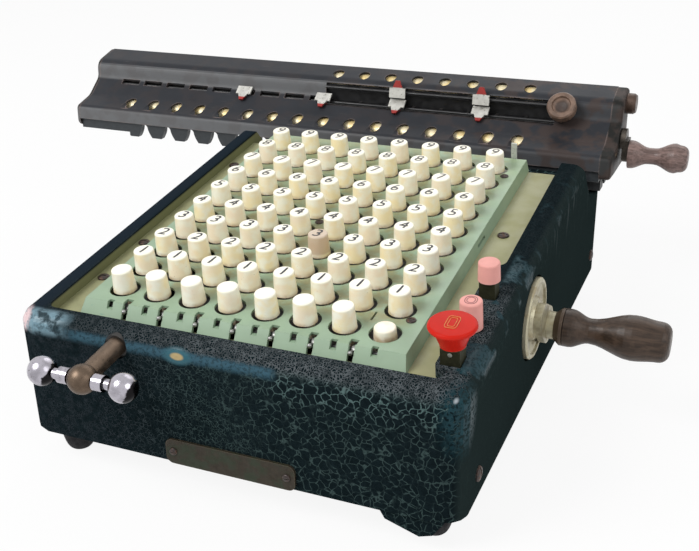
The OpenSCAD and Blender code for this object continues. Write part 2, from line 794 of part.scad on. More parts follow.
module stepped_drums() {
    color([0.7, 0.6, 0.35])
    for (c = [0:columns - 1])
        translate([left_margin + c * key_pitch - drum_w / 2, crank_y, drum_z])
            rotate([0, 90, 0]) stepped_drum();
}

module selector_shaft() {
    color([0.6, 0.58, 0.5]) {
        rod_x(frame_left_x - 1, frame_right_x + frame_t + 1, selector_y, drum_z, selector_d);
        for (c = [0:columns - 1])
            translate([left_margin + (c + 0.5) * key_pitch - 2, selector_y, drum_z]) rotate([0, 90, 0])
                difference() {
                    toothed_wheel(10, 1.4, 4, 0);
                    translate([0, 0, -1]) cylinder(h = 6, d = selector_d + press_gap);
                }
    }
}

// Carriage shift

hub_y = -(shift_reach + joint_y) / cos(deck_tilt);

// Handle's shaft, parallel to the deck, with a tongue at its rear end
module shift_stub() {
    color([0.50, 0.42, 0.30])
    on_shift_axis() {
        rod_y(hub_y, -0.8, 0, 0, shaft_d);
        box(-1.2, 1.2, -1, 1.9, -4, 4);
    }
}

// Level shaft with a slot for the tongue and the pin pinion under the rack
module shift_shaft() {
    disc_y = rack_y + rack_t + 1;
    slot_y = joint_y + 0.6;
    pin_turn = 90 - rack_phase / pinion_r * 180 / PI;
    color([0.50, 0.42, 0.30]) {
        difference() {
            rod_y(slot_y, slot_y + 3, shift_x, shift_z, shaft_d);
            box(shift_x - 1.8, shift_x + 1.8, slot_y - 1, slot_y + 2.3, shift_z - 9, shift_z + 9);
            rod_y(slot_y + 1, slot_y + 4, shift_x, shift_z, inner_shaft_d + press_gap);
        }
        rod_y(slot_y + 2.35, disc_y + 2.5, shift_x, shift_z, inner_shaft_d);
        difference() {
            rod_y(disc_y, disc_y + 2.5, shift_x, shift_z, 2 * (pinion_r + pin_r - 0.2));
            rod_y(disc_y - 1, disc_y + 3, shift_x, shift_z, inner_shaft_d + press_gap);
        }
        for (i = [0:pinion_pins - 1])
            let (a = pin_turn + i * 360 / pinion_pins)
            rod_y(rack_y - 0.5, disc_y + 1, shift_x + pinion_r * cos(a), shift_z + pinion_r * sin(a),
                  2 * pin_r);
    }
}

module shift_handle() {
    color([0.72, 0.73, 0.75])
    on_shift_axis() difference() {
        translate([0, hub_y, 0]) {
            sphere(d = 13.5);
            rotate([0, 90, 0]) cylinder(h = ball_span, d = 5, center = true);
            for (s = [-1, 1]) {
                translate([s * ball_span / 2, 0, 0]) sphere(d = ball_d);
                translate([s * 9, 0, 0]) rotate([0, 90, 0]) cylinder(h = 5, d = 7.5, center = true);
            }
        }
        rod_y(hub_y, 0, 0, 0, shaft_d);
    }
}

// Carriage

cover_pts = [[0, 0], [0.6, 9.2], [17, 13.5], [30.2, 23.7], [31.2, 35], [51.6, 40.4], [54, 38.4], [54, 0]];
cover_rs = [0, 4, 12, 6, 8, 1.2, 1.2, 0];
cover_inner_rs = [0, 2.5, 13.5, 7.5, 6.5, 0, 0, 0];

function carriage_place(pts) = [for (p = pts) [carriage_y + p[0], lip_z + p[1]]];

module cover_outline() polygon(rounded(carriage_place(cover_pts), cover_rs));

module cover_inner_outline() {
    inner = inset_outline(cover_pts, cover_t);
    n = len(inner);
    open = [for (i = [0:n - 1]) (i == 0 || i == n - 1) ? [inner[i][0], -1] : inner[i]];
    polygon(rounded(carriage_place(open), cover_inner_rs));
}

// Round window bored on an axis that faces the operator
module window(p, tilt, d) translate([0, p[0], p[1]]) rotate([90 - tilt, 0, 0]) {
    translate([0, 0, -6]) cylinder(h = 14, d = d);
    translate([0, 0, 0.6]) cylinder(h = 5, d1 = d, d2 = d + 8);
}

function column_x(c) = left_margin + c * key_pitch;
function dial_x(c) = column_x(c) + dial_shift;

slope_low = atan2(cover_pts[3][1] - cover_pts[2][1], cover_pts[3][0] - cover_pts[2][0]);
slope_high = 80;
rod_d = 2.2;
rod_low = [carriage_y + 30, lip_z + 20];
rod_high = [carriage_y + 30.6, lip_z + 30.2];
trough_x0 = column_x(0) - key_pitch * 0.55;
trough_x1 = column_x(columns - 1) + key_pitch * 0.75;

module carriage_cover() {
    color([0.20, 0.21, 0.22])
    difference() {
        along_x(cover_left, cover_right) cover_outline();
        along_x(cover_left - 1, cover_right + 1) cover_inner_outline();
        for (c = [-dials_left:columns - 1]) translate([dial_x(c), 0, 0]) window(lower_window, 34, window_d);
        for (c = [0:columns - 1]) translate([dial_x(c), 0, 0]) window(upper_window, 50, window_d);
        // Trough of the pointer rail, and the slots left of it
        box(trough_x0, trough_x1, carriage_y + 20, carriage_y + 33.5, lip_z + 19.2, lip_z + 33);
        for (c = [-dials_left:0])
            translate([dial_x(c) - key_pitch / 2, rod_low[0], rod_low[1]]) rotate([slope_low, 0, 0])
                cube([14.6, 4, 12], center = true);
        on_knob_axis() translate([0, 0, -9]) cylinder(h = 18, d = knob_stub_d + 2 * pass_fit);
    }
}

module on_knob_axis() translate([knob_x, knob_base[0], knob_base[1]]) rotate([knob_tilt, 0, 0]) children();

module end_outline() {
    pts = concat([[-0.4, -5.1]], [for (i = [1:4]) cover_pts[i]], [[54, 41], [54, -8], [17, -6.5]]);
    polygon(rounded(carriage_place(pts), [4, 4, 12, 6, 8, 3.4, 6, 3]));
}

module carriage_ends() {
    color([0.13, 0.13, 0.14])
    difference() {
        union() {
            along_x(carriage_left, cover_left) end_outline();
            along_x(cover_right, carriage_right) end_outline();
        }
        for (p = [lower_wheel, upper_wheel])
            rod_x(carriage_left + 1, carriage_right + 1, p[0], p[1], wheel_shaft_d + 2 * run_fit);
        rod_x(cover_right - 1, carriage_right + 1, clear_axis[0], clear_axis[1], clear_stub_d + 2 * run_fit);
    }
}

// Running plate that hooks round the rail's head, with a strip that carries the rack
module carriage_frame() {
    front = rack_y + rack_t + 4;
    web = 2;
    plate_z = rail_head_top + slide_fit;
    plate_h = 3;
    hook_top = rail_head_top - rail_head_t - slide_fit;
    hook_z = hook_top - 3.7;
    head_front = rail_y - rail_head_w / 2 - slide_fit;
    head_rear = rail_y + rail_head_w / 2 + slide_fit;
    lip = 4;
    color([0.4, 0.4, 0.42]) {
        box(cover_left, cover_right, rack_y + rack_t, front + web, lip_z, lip_z + 2.5);
        along_x(4.6, cover_right)
            polygon([[front, lip_z + eps], [front + web, lip_z + eps], [front + web, plate_z + plate_h],
                     [head_rear + web + 1, plate_z + plate_h], [head_rear + web + 1, hook_z],
                     [head_rear - lip, hook_z], [head_rear - lip, hook_top], [head_rear, hook_top],
                     [head_rear, plate_z], [head_front, plate_z], [head_front, hook_top],
                     [head_front + lip, hook_top], [head_front + lip, hook_z], [front, hook_z]]);
    }
}

module carriage_rail() {
    head_z = rail_head_top - rail_head_t;
    stem = 3;
    x0 = frame_left_x + frame_t;
    color([0.55, 0.55, 0.56]) {
        box(frame_left_x, frame_right_x + frame_t, rail_y - rail_head_w / 2, rail_y + rail_head_w / 2,
            head_z, rail_head_top);
        box(x0, frame_right_x, rail_y - stem / 2, rail_y + stem / 2, 40, head_z + eps);
    }
}

// Half of a notch's outline: the side that clears a pin rolling on the pitch line
function notch_side(r, rc, last) = [for (t = [0:6:last])
    [r * (t * PI / 180 - sin(t)) + rc * cos(t / 2), -r * (1 - cos(t)) + rc * sin(t / 2)]];

module notch() {
    rc = pin_r + 0.3;
    side = notch_side(pinion_r, rc, 84);
    n = len(side);
    polygon(concat(
        [for (i = [0:n - 1]) side[n - 1 - i]],
        [for (a = [15:15:165]) rc * [cos(a), sin(a)]],
        [for (p = side) [-p[0], p[1]]]));
}

module carriage_rack() {
    first = -8;
    last = 1;
    teeth_x0 = rack_x(first) - 13;
    teeth_x1 = rack_x(last) + 13;
    top = lip_z + 2.5;
    tip = pitch_line - tooth_depth;
    plain = pitch_line - plain_depth;
    color([0.17, 0.18, 0.18])
    translate([0, rack_y + rack_t, 0]) rotate([90, 0, 0]) linear_extrude(rack_t) difference() {
        polygon([[cover_left, top], [cover_right, top], [cover_right, plain], [teeth_x1, plain],
                 [teeth_x1, tip + 0.6], [teeth_x1 - 0.6, tip], [teeth_x0 + 0.6, tip],
                 [teeth_x0, tip + 0.6], [teeth_x0, plain], [cover_left, plain]]);
        for (k = [first:last]) translate([rack_x(k), pitch_line]) notch();
    }
}

function rack_x(k) = shift_x + rack_phase + k * key_pitch;

module numeral_wheel(r) {
    rotate([0, 90, 0]) rotate_extrude() polygon([[0, -wheel_w / 2], [r - 0.6, -wheel_w / 2],
        [r, -wheel_w / 2 + 0.6], [r, wheel_w / 2 - 0.6], [r - 0.6, wheel_w / 2], [0, wheel_w / 2]]);
}

module dial_row(p, r, first) {
    color([0.85, 0.72, 0.4]) {
        rod_x(carriage_left + 1.5, p == upper_wheel ? carriage_right + 1 : carriage_right - 0.5,
              p[0], p[1], wheel_shaft_d);
        for (c = [first:columns - 1]) translate([dial_x(c), p[0], p[1]]) numeral_wheel(r);
    }
}

module lower_dials() dial_row(lower_wheel, lower_wheel_r, -dials_left);
module upper_dials() dial_row(upper_wheel, upper_wheel_r, 0);

module pointer_rail() {
    back_y = carriage_y + 33.6;
    bracket = 0.8;
    x_end = dial_x(-dials_left) - key_pitch;
    x_last = trough_x1 + 1.4;
    color([0.10, 0.10, 0.10]) {
        rod_x(x_end, x_last, rod_low[0], rod_low[1], rod_d);
        rod_x(trough_x0 + 0.4, trough_x1 - 0.4, rod_high[0], rod_high[1], rod_d);
        difference() {
            box(cover_left, cover_right, back_y, back_y + 1, lip_z + 17.5, lip_z + 31.8);
            on_knob_axis() cylinder(h = 40, d = knob_stub_d + 2 * pass_fit, center = true);
        }
        for (c = [-dials_left:columns - 1])
            box(dial_x(c) - bracket, dial_x(c) + bracket, rod_low[0] + 0.9, back_y + eps,
                rod_low[1] - 1, rod_low[1] + 1);
        for (c = [1:columns - 1])
            box(dial_x(c) - bracket, dial_x(c) + bracket, rod_high[0] + 1.05, back_y + eps,
                rod_high[1] - 1, rod_high[1] + 1);
        for (x = [x_end, x_last - 1.2])
            box(x, x + 1.2, rod_low[0] + 0.9, back_y + eps, rod_low[1] - 1, rod_low[1] + 1);
        for (x = [trough_x0 + 0.4, trough_x1 - 2.4])
            box(x, x + 2, rod_high[0] + 1.05, back_y + eps, rod_high[1] - 1, rod_high[1] + 1);
    }
}

pointer_w = 11;
pointer_h = 6.4;

// Sliding pointer clipped on a rod at p; it lies along a slope, its tip towards `way`, -1 down or 1 up
module pointer(x, p, slope, lift, way) translate([x, p[0], p[1]]) rotate([slope, 0, 0]) {
    t = 1.2;
    box(-pointer_w / 2, pointer_w / 2, -pointer_h / 2, pointer_h / 2, lift, lift + t);
    translate([0, way * (pointer_h / 2 - eps), lift]) linear_extrude(t)
        polygon([[-3.4, 0], [3.4, 0], [1.4, way * 5], [-1.4, way * 5]]);
    difference() {
        box(-1.5, 1.5, -1.6, 1.6, -0.6, lift + eps);
        rod_x(-2, 2, 0, 0, rod_d + 2 * run_fit);
    }
}

lower_pointer_cols = [-3.5, -0.31, 2.5, 5.5];
upper_pointer_cols = [2.5, 5.5];

module lower_pointers() {
    color([0.85, 0.83, 0.80])
    for (c = lower_pointer_cols) pointer(dial_x(c), rod_low, slope_low, 4.2, -1);
}

module upper_pointers() {
    color([0.85, 0.83, 0.80])
    for (c = upper_pointer_cols) pointer(dial_x(c), rod_high, slope_high, 2.4, 1);
}

clear_stub_d = 6;
knob_stub_d = 5;
clear_pin_d = 4;
clear_grip_x = carriage_right + 5.6;

module clear_crank() {
    x = carriage_right;
    grip_axis_z = clear_axis[1] - clear_throw;
    color([0.24, 0.22, 0.2]) {
        rod_x(cover_right - 6, x + 1, clear_axis[0], clear_axis[1], clear_stub_d);
        rod_x(x + 0.4, x + 3.6, clear_axis[0], clear_axis[1], 13);
        box(x + 1.6, x + 5.3, clear_axis[0] - 5, clear_axis[0] + 5, grip_axis_z, clear_axis[1]);
        rod_x(x + 1.6, x + 5.3, clear_axis[0], grip_axis_z, 10);
        rod_x(x + 3.6, clear_grip_x + clear_grip_l - 5, clear_axis[0], grip_axis_z, clear_pin_d);
    }
}

module clear_grip() {
    r = clear_grip_d / 2;
    l = clear_grip_l;
    color([0.36, 0.24, 0.18])
    translate([clear_grip_x, clear_axis[0], clear_axis[1] - clear_throw]) rotate([0, 90, 0])
        turned_grip(l, [[0, 0.95 * r], [0.04 * l, 0.95 * r], [0.34 * l, 0.55 * r], [0.44 * l, 0.55 * r],
                        [0.77 * l, r], [l - 4.5, 0.9 * r]], 4.5, clear_pin_d + 2 * run_fit);
}

module carriage_knob() {
    color([0.45, 0.27, 0.18])
    on_knob_axis() {
        rotate_extrude() polygon([[0, 2.5], [7.6, 2.5], [8.6, 3.3], [9, 5], [9, 9], [8.2, 10], [6, 10], [5.4, 8.6],
                                  [3, 7.4], [0, 7.2]]);
        translate([0, 0, -9]) cylinder(h = 12, d = knob_stub_d);
    }
}

module upper_shaft_cap() {
    color([0.40, 0.26, 0.17])
    translate([carriage_right, upper_wheel[0], upper_wheel[1]]) rotate([0, 90, 0])
        difference() {
            rotate_extrude() polygon([[0, 0], [6.4, 0], [6.4, 4], [5.4, 5.6], [0, 5.6]]);
            translate([0, 0, -1]) cylinder(h = 3, d = wheel_shaft_d + 1);
        }
}

at_origin() case_shell();
at_origin() base_plate();
at_origin() feet();
at_origin() keyboard_bed();
at_origin() keyboard_plate();
at_origin() screws();
at_origin() name_plate();
at_origin() side_frames();
at_origin() tie_rods();
at_origin() key_guide_plate();
at_origin() carriage_rail();
at_origin() shaft_bushes();
at_origin() column_marker();
for (i = [1:columns]) at_origin() digit_keys(i);
for (i = [1:columns]) at_origin() clear_key(i);
for (i = [1:columns - 1]) at_origin() column_tab(i);
at_origin() red_key();
at_origin() pink_key_front();
at_origin() pink_key_rear();
at_origin() crank_disc();
at_origin() crank_grip();
at_origin() drum_shaft();
at_origin() stepped_drums();
at_origin() selector_shaft();
at_origin() shift_stub();
at_origin() shift_shaft();
at_origin() shift_handle();
at_origin() carriage_cover();
at_origin() carriage_ends();
at_origin() carriage_frame();
at_origin() carriage_rack();
at_origin() lower_dials();
at_origin() upper_dials();
at_origin() pointer_rail();
at_origin() lower_pointers();
at_origin() upper_pointers();
at_origin() clear_crank();
at_origin() clear_grip();
at_origin() carriage_knob();
at_origin() upper_shaft_cap();
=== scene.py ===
"""Full-keyboard desk calculator: finishes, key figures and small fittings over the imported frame."""

import math

import bmesh
import bpy
from bpy.props import FloatProperty, FloatVectorProperty, PointerProperty
from mathutils import Matrix, Vector


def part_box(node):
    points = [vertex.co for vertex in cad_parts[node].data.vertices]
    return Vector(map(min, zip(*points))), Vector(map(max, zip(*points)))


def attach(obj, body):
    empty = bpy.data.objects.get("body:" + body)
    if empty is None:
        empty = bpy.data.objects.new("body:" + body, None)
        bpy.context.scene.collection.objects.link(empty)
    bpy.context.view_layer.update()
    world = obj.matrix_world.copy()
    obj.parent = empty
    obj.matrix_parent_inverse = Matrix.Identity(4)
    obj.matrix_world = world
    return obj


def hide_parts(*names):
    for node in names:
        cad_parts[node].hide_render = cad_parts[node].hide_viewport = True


bl_info = {
    "name": "Desk calculator",
    "version": (1, 0, 0),
    "blender": (4, 5, 0),
    "location": "3D View > Sidebar > Calculator",
    "description": "Finishes and small fittings of a full-keyboard desk calculator",
    "category": "Add Mesh",
}

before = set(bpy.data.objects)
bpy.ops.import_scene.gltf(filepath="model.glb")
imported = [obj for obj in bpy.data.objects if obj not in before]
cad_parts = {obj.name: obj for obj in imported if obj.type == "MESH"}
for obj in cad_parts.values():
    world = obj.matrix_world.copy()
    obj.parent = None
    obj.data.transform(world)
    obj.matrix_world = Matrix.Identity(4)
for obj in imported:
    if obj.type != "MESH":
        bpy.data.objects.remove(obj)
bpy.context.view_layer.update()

MM = 0.001
COLUMNS = 8
DIGIT_ROWS = 9
KEY_PITCH = 19 * MM
ROW_PITCH = 19.4 * MM
DECK_TILT = math.radians(6.4)
CAP_HEIGHT = 11 * MM
CAP_SINK = 0.3 * MM


def corners(name):
    """Low and high corner of a CAD node's box."""
    return [Vector(corner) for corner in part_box(name)]


CASE_LOW, CASE_HIGH = corners("case_shell")
PLATE_LOW = corners("keyboard_plate")[0]

# Foot of the keyboard plate's front fold, from the front key row and the plate's top
FOLD_FOOT = Vector((0, -17.5 * MM, -6.8 * MM))
# First column, front row, top of the keyboard plate
DECK_ORIGIN = Vector((sum(box[0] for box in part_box("clear_key_1")) / 2, PLATE_LOW.y, PLATE_LOW.z)) \
    - Matrix.Rotation(DECK_TILT, 3, "X") @ FOLD_FOOT
DECK = Matrix.Translation(DECK_ORIGIN) @ Matrix.Rotation(DECK_TILT, 4, "X")

FUNCTION_X = 166.6 * MM
RED_KEY = Vector((FUNCTION_X, -9.5 * MM, 17.9 * MM))
PINK_FRONT_KEY = Vector((FUNCTION_X, 16.5 * MM, 13 * MM))
FUNCTION_POST_TOP = 7 * MM
RED_POST = 8.6 * MM
KNOB_TILT = 50
CLEAR_HUB = 13 * MM

# Photograph: its width in pixels, and the camera that was fitted to it
PHOTO_WIDTH = 699
FOCAL_PIXELS = 1038.45
CAMERA_PLACE = Vector((253.25, -482.69, 290.7)) * MM
CAMERA_AZIMUTH = math.radians(23.2326)
CAMERA_ELEVATION = math.radians(24.2771)
CAMERA_ROLL = math.radians(-1.2905)
SENSOR_WIDTH = 36


# Node trees

class Wiring:
    """A node tree that is filled from code. An input takes a socket or a plain value."""

    def __init__(self, tree):
        self.tree = tree

    def put(self, socket, value):
        if isinstance(value, bpy.types.NodeSocket):
            self.tree.links.new(value, socket)
        elif socket.type == "RGBA":
            socket.default_value = (*value[:3], 1)
        else:
            socket.default_value = value

    def node(self, kind, inputs=None, **settings):
        node = self.tree.nodes.new(kind)
        for key, value in settings.items():
            setattr(node, key, value)
        for key, value in (inputs or {}).items():
            self.put(node.inputs[key], value)
        return node

    def math(self, operation, *values):
        node = self.node("ShaderNodeMath", operation=operation)
        for socket, value in zip(node.inputs, values):
            self.put(socket, value)
        return node.outputs[0]


class Finish(Wiring):
    """A procedural material on Object coordinates. Sizes are in millimetres."""

    def __init__(self, name, **shader):
        self.material = bpy.data.materials.new(name)
        self.material.use_nodes = True
        super().__init__(self.material.node_tree)
        self.shader = self.tree.nodes["Principled BSDF"]
        self.place = self.node("ShaderNodeTexCoord").outputs["Object"]
        self.normal = None
        for key, value in shader.items():
            self.put(self.shader.inputs[key.replace("_", " ")], value)

    def local(self, origin, tilt=0):
        """Coordinates about a point, in metres, in a frame turned about X by tilt."""
        return self.node("ShaderNodeMapping", {"Vector": self.place, "Location": origin,
                                               "Rotation": (tilt, 0, 0)},
                         vector_type="TEXTURE").outputs[0]

    def axis(self, vector, name):
        return self.node("ShaderNodeSeparateXYZ", {"Vector": vector}).outputs[name]

    def deck(self):
        """Millimetres along the columns, up the rows and above the keyboard's plate."""
        place = self.local(DECK_ORIGIN, DECK_TILT)
        return [self.math("DIVIDE", self.axis(place, name), MM) for name in "XYZ"]

    def stretched(self, scale, place=None):
        return self.node("ShaderNodeMapping", {"Vector": place or self.place, "Scale": scale}).outputs[0]

    def noise(self, size, detail=2, rough=0.5, distort=0, place=None):
        """Cloudy pattern from 0 to 1 whose blots are about size wide."""
        return self.node("ShaderNodeTexNoise", {
            "Vector": place or self.place, "Scale": 1 / (size * MM), "Detail": detail,
            "Roughness": rough, "Distortion": distort}).outputs[0]

    def blots(self, size, low, high, detail=2, rough=0.5, place=None):
        """1 in the blots of a noise and 0 between them."""
        return self.span(self.noise(size, detail, rough, place=place), low, high)

    def uneven(self, size, low, high, detail=2):
        """A value that drifts between low and high."""
        return self.span(self.noise(size, detail), 0.3, 0.7, low, high)

    def cloudy(self, size, tone, darker, lighter, detail=3, rough=0.5):
        """A colour that drifts between two shades of itself."""
        return self.mix(self.noise(size, detail, rough), shade(tone, darker), shade(tone, lighter))

    def cells(self, size, place):
        """Distance to the edge of cells about size wide."""
        return self.node("ShaderNodeTexVoronoi", {"Vector": place, "Scale": 1 / (size * MM)},
                         feature="DISTANCE_TO_EDGE").outputs["Distance"]

    def warped(self, size, depth):
        """Coordinates shaken by a noise of that size, by about depth."""
        noise = self.node("ShaderNodeTexNoise", {"Vector": self.place, "Scale": 1 / (size * MM),
                                                 "Detail": 1}).outputs["Color"]
        shift = self.node("ShaderNodeVectorMath", {0: noise, 1: (0.5, 0.5, 0.5)}, operation="SUBTRACT")
        scaled = self.node("ShaderNodeVectorMath", {0: shift.outputs[0], "Scale": 2 * depth * MM},
                           operation="SCALE")
        return self.node("ShaderNodeVectorMath", {0: self.place, 1: scaled.outputs[0]},
                         operation="ADD").outputs[0]

    def span(self, value, low, high, to_low=0, to_high=1):
        """Smooth step from to_low at low to to_high at high."""
        return self.node("ShaderNodeMapRange", {"Value": value, "From Min": low, "From Max": high,
                                                "To Min": to_low, "To Max": to_high},
                         interpolation_type="SMOOTHSTEP").outputs[0]

    def times(self, *values):
        result = values[0]
        for value in values[1:]:
            result = self.math("MULTIPLY", result, value)
        return result

    def most(self, *values):
        result = values[0]
        for value in values[1:]:
            result = self.math("MAXIMUM", result, value)
        return result

    def mix(self, amount, first, second):
        node = self.node("ShaderNodeMix", data_type="RGBA")
        for index, value in ((0, amount), (6, first), (7, second)):
            self.put(node.inputs[index], value)
        return node.outputs[2]

    def near(self, point, radius, soft=0.5, stretch=(1, 1, 1), place=None):
        """1 within soft x radius of a point, falling to 0 at the radius."""
        away = self.node("ShaderNodeVectorMath", {0: place or self.place, 1: point}, operation="SUBTRACT")
        scaled = self.node("ShaderNodeVectorMath", {0: away.outputs[0], 1: stretch}, operation="MULTIPLY")
        length = self.node("ShaderNodeVectorMath", {0: scaled.outputs[0]}, operation="LENGTH")
        return self.span(length.outputs["Value"], radius * MM, radius * soft * MM)

    def edges(self, radius, low=0.02, high=0.25):
        """1 along sharp edges, out to about radius from them."""
        rounded = self.node("ShaderNodeBevel", {"Radius": radius * MM}, samples=4).outputs[0]
        flat = self.node("ShaderNodeNewGeometry").outputs["Normal"]
        dot = self.node("ShaderNodeVectorMath", {0: rounded, 1: flat}, operation="DOT_PRODUCT")
        return self.span(dot.outputs["Value"], 1 - low, 1 - high)

    def bump(self, height, depth):
        """Raises the surface by about depth where height is 1."""
        inputs = {"Strength": 1, "Distance": depth * MM, "Height": height}
        if self.normal:
            inputs["Normal"] = self.normal
        self.normal = self.node("ShaderNodeBump", inputs).outputs[0]
        self.put(self.shader.inputs["Normal"], self.normal)

    def dress(self, colour, rough=None, metal=None):
        self.put(self.shader.inputs["Base Color"], colour)
        if rough is not None:
            self.put(self.shader.inputs["Roughness"], rough)
        if metal is not None:
            self.put(self.shader.inputs["Metallic"], metal)
        return self.material


def shade(colour, factor):
    """A colour made darker or lighter by a factor."""
    return tuple(min(1, channel * factor) for channel in colour[:3])


class Rule(Wiring):
    """A geometry tree with named inputs. Each input is a name with its socket kind and default."""

    def __init__(self, name, inputs):
        super().__init__(bpy.data.node_groups.new(name, "GeometryNodeTree"))
        face = self.tree.interface
        for label, (kind, default) in inputs.items():
            socket = face.new_socket(label, in_out="INPUT", socket_type="NodeSocket" + kind)
            if default is not None:
                socket.default_value = default
        face.new_socket("Geometry", in_out="OUTPUT", socket_type="NodeSocketGeometry")
        self.given = self.node("NodeGroupInput").outputs

    def step(self, kind, inputs=None, **settings):
        """Adds a geometry node and returns its first outlet."""
        return self.node("GeometryNode" + kind, inputs, **settings).outputs[0]

    def vector(self, x=0, y=0, z=0):
        return self.node("ShaderNodeCombineXYZ", {"X": x, "Y": y, "Z": z}).outputs[0]

    def join(self, parts):
        node = self.node("GeometryNodeJoinGeometry")
        for part in reversed(parts):
            self.put(node.inputs[0], part)
        return node.outputs[0]

    def finish(self, geometry, material=None):
        if material:
            real = self.step("RealizeInstances", {"Geometry": geometry})
            geometry = self.step("SetMaterial", {"Geometry": real, "Material": material})
        self.put(self.node("NodeGroupOutput").inputs[0], geometry)
        return self.tree


def figure_rule():
    """A figure cut as a thin solid, centred on the origin and leaning to the right."""
    rule = Rule("figure", {"Figure": ("String", "0"), "Size": ("Float", 10 * MM),
                           "Thickness": ("Float", 0.3 * MM), "Lean": ("Float", 0.1)})
    text = rule.step("StringToCurves", {"String": rule.given["Figure"], "Size": rule.given["Size"]},
                     align_x="CENTER", align_y="MIDDLE")
    flat = rule.step("RealizeInstances", {"Geometry": rule.step("FillCurve", {"Curve": text})})
    place = rule.node("GeometryNodeInputPosition").outputs[0]
    height = rule.node("ShaderNodeSeparateXYZ", {"Vector": place}).outputs["Y"]
    lean = rule.vector(rule.math("MULTIPLY", height, rule.given["Lean"]))
    flat = rule.step("SetPosition", {"Geometry": flat, "Offset": lean})
    raised = rule.step("ExtrudeMesh", {"Mesh": flat, "Offset Scale": rule.given["Thickness"],
                                       "Individual": False})
    closed = rule.join([raised, rule.step("FlipFaces", {"Mesh": flat})])
    return rule.finish(rule.step("MergeByDistance", {"Geometry": closed, "Distance": 1e-6}))


def key_figures_rule():
    """The figures of one key column, one on each cap, on the sloping deck."""
    rule = Rule("key_figures", {
        "Column": ("Float", 0.0), "Row pitch": ("Float", ROW_PITCH), "Cap height": ("Float", CAP_HEIGHT),
        "Size": ("Float", 10 * MM), "Thickness": ("Float", 0.3 * MM), "Lean": ("Float", 0.1),
        "Deck origin": ("Vector", None), "Deck tilt": ("Float", DECK_TILT), "Material": ("Material", None)})
    figure = figure_rule()
    caps = []
    for row in range(1, DIGIT_ROWS + 1):
        cut = rule.step("Group", node_tree=figure)
        group = cut.node
        rule.put(group.inputs["Figure"], str(row))
        for name in ("Size", "Thickness", "Lean"):
            rule.put(group.inputs[name], rule.given[name])
        place = rule.vector(rule.given["Column"], rule.math("MULTIPLY", rule.given["Row pitch"], row),
                            rule.given["Cap height"])
        caps.append(rule.step("Transform", {"Geometry": cut, "Translation": place}))
    deck = rule.step("Transform", {"Geometry": rule.join(caps), "Translation": rule.given["Deck origin"],
                                   "Rotation": rule.vector(rule.given["Deck tilt"])})
    return rule.finish(deck, rule.given["Material"])


def grow(rule, name, values):
    """Runs a geometry tree on an empty piece and keeps the result as a plain mesh."""
    piece = bpy.data.objects.new(name, bpy.data.meshes.new(name))
    bpy.context.scene.collection.objects.link(piece)
    modifier = piece.modifiers.new("rule", "NODES")
    modifier.node_group = rule
    for item in rule.interface.items_tree:
        if item.in_out == "INPUT" and item.name in values:
            modifier[item.identifier] = values[item.name]
    solved = piece.evaluated_get(bpy.context.evaluated_depsgraph_get())
    mesh = bpy.data.meshes.new_from_object(solved)
    mesh.name = name
    piece.modifiers.remove(modifier)
    piece.data = mesh
    return piece


# Pieces

def paint(material, *nodes):
    """Gives CAD nodes a material."""
    for name in nodes:
        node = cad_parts[name]
        if not node.material_slots:
            node.data.materials.append(material)
        for slot in node.material_slots:
            slot.material = material


def keep(piece, body):
    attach(piece, body)


def piece_from(name, mesh, material, place=Matrix()):
    """A piece at the origin whose mesh is put in its place."""
    data = bpy.data.meshes.new(name)
    bmesh.ops.remove_doubles(mesh, verts=mesh.verts, dist=1e-7)
    bmesh.ops.recalc_face_normals(mesh, faces=mesh.faces)
    mesh.transform(place)
    mesh.to_mesh(data)
    mesh.free()
    data.materials.append(material)
    piece = bpy.data.objects.new(name, data)
    bpy.context.scene.collection.objects.link(piece)
    return piece


def rounded_ends(material, radius):
    """The carriage's end castings with their outer rims rounded. The shafts' holes stay sharp."""
    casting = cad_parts["carriage_ends"]
    low, high = corners("carriage_ends")
    shafts = [sum(corners(name), Vector()) / 2
              for name in ("lower_dials", "upper_dials")]
    crank_low, crank_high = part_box("clear_crank")
    shafts.append(Vector((high.x, (crank_low[1] + crank_high[1]) / 2, crank_high[2] - CLEAR_HUB / 2)))
    mesh = bmesh.new()
    mesh.from_mesh(casting.data)
    mesh.transform(casting.matrix_world)
    bmesh.ops.remove_doubles(mesh, verts=mesh.verts, dist=1e-6)
    bmesh.ops.dissolve_limit(mesh, angle_limit=math.radians(0.5), verts=mesh.verts, edges=mesh.edges)
    rims = []
    for edge in mesh.edges:
        ends = [vertex.co for vertex in edge.verts]
        outer = all(point.x > high.x - 0.01 * MM for point in ends) \
            or all(point.x < low.x + 0.01 * MM for point in ends)
        clear = all((point - shaft).yz.length > 5 * MM for shaft in shafts for point in ends)
        if outer and clear and edge.is_manifold and edge.calc_face_angle(0) > math.radians(60):
            rims.append(edge)
    bmesh.ops.bevel(mesh, geom=rims, offset=radius, segments=4, profile=0.5, affect="EDGES",
                    clamp_overlap=True)
    for face in mesh.faces:
        face.smooth = True
    piece = piece_from("carriage_end_castings", mesh, material)
    piece.data.set_sharp_from_angle(angle=math.radians(32))
    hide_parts("carriage_ends")
    return piece


def add_band(mesh, outline, width, low, high):
    """A closed flat band inside an outline of [x, y] points round the origin."""
    rings = []
    for points in (outline, [point * (1 - width / point.length) for point in outline]):
        for level in (low, high):
            rings.append([mesh.verts.new((*point, level)) for point in points])
    outer_low, outer_high, inner_low, inner_high = rings
    count = len(outline)
    for i in range(count):
        j = (i + 1) % count
        for a, b in ((outer_low, outer_high), (outer_high, inner_high),
                     (inner_high, inner_low), (inner_low, outer_low)):
            mesh.faces.new((a[i], a[j], b[j], b[i]))


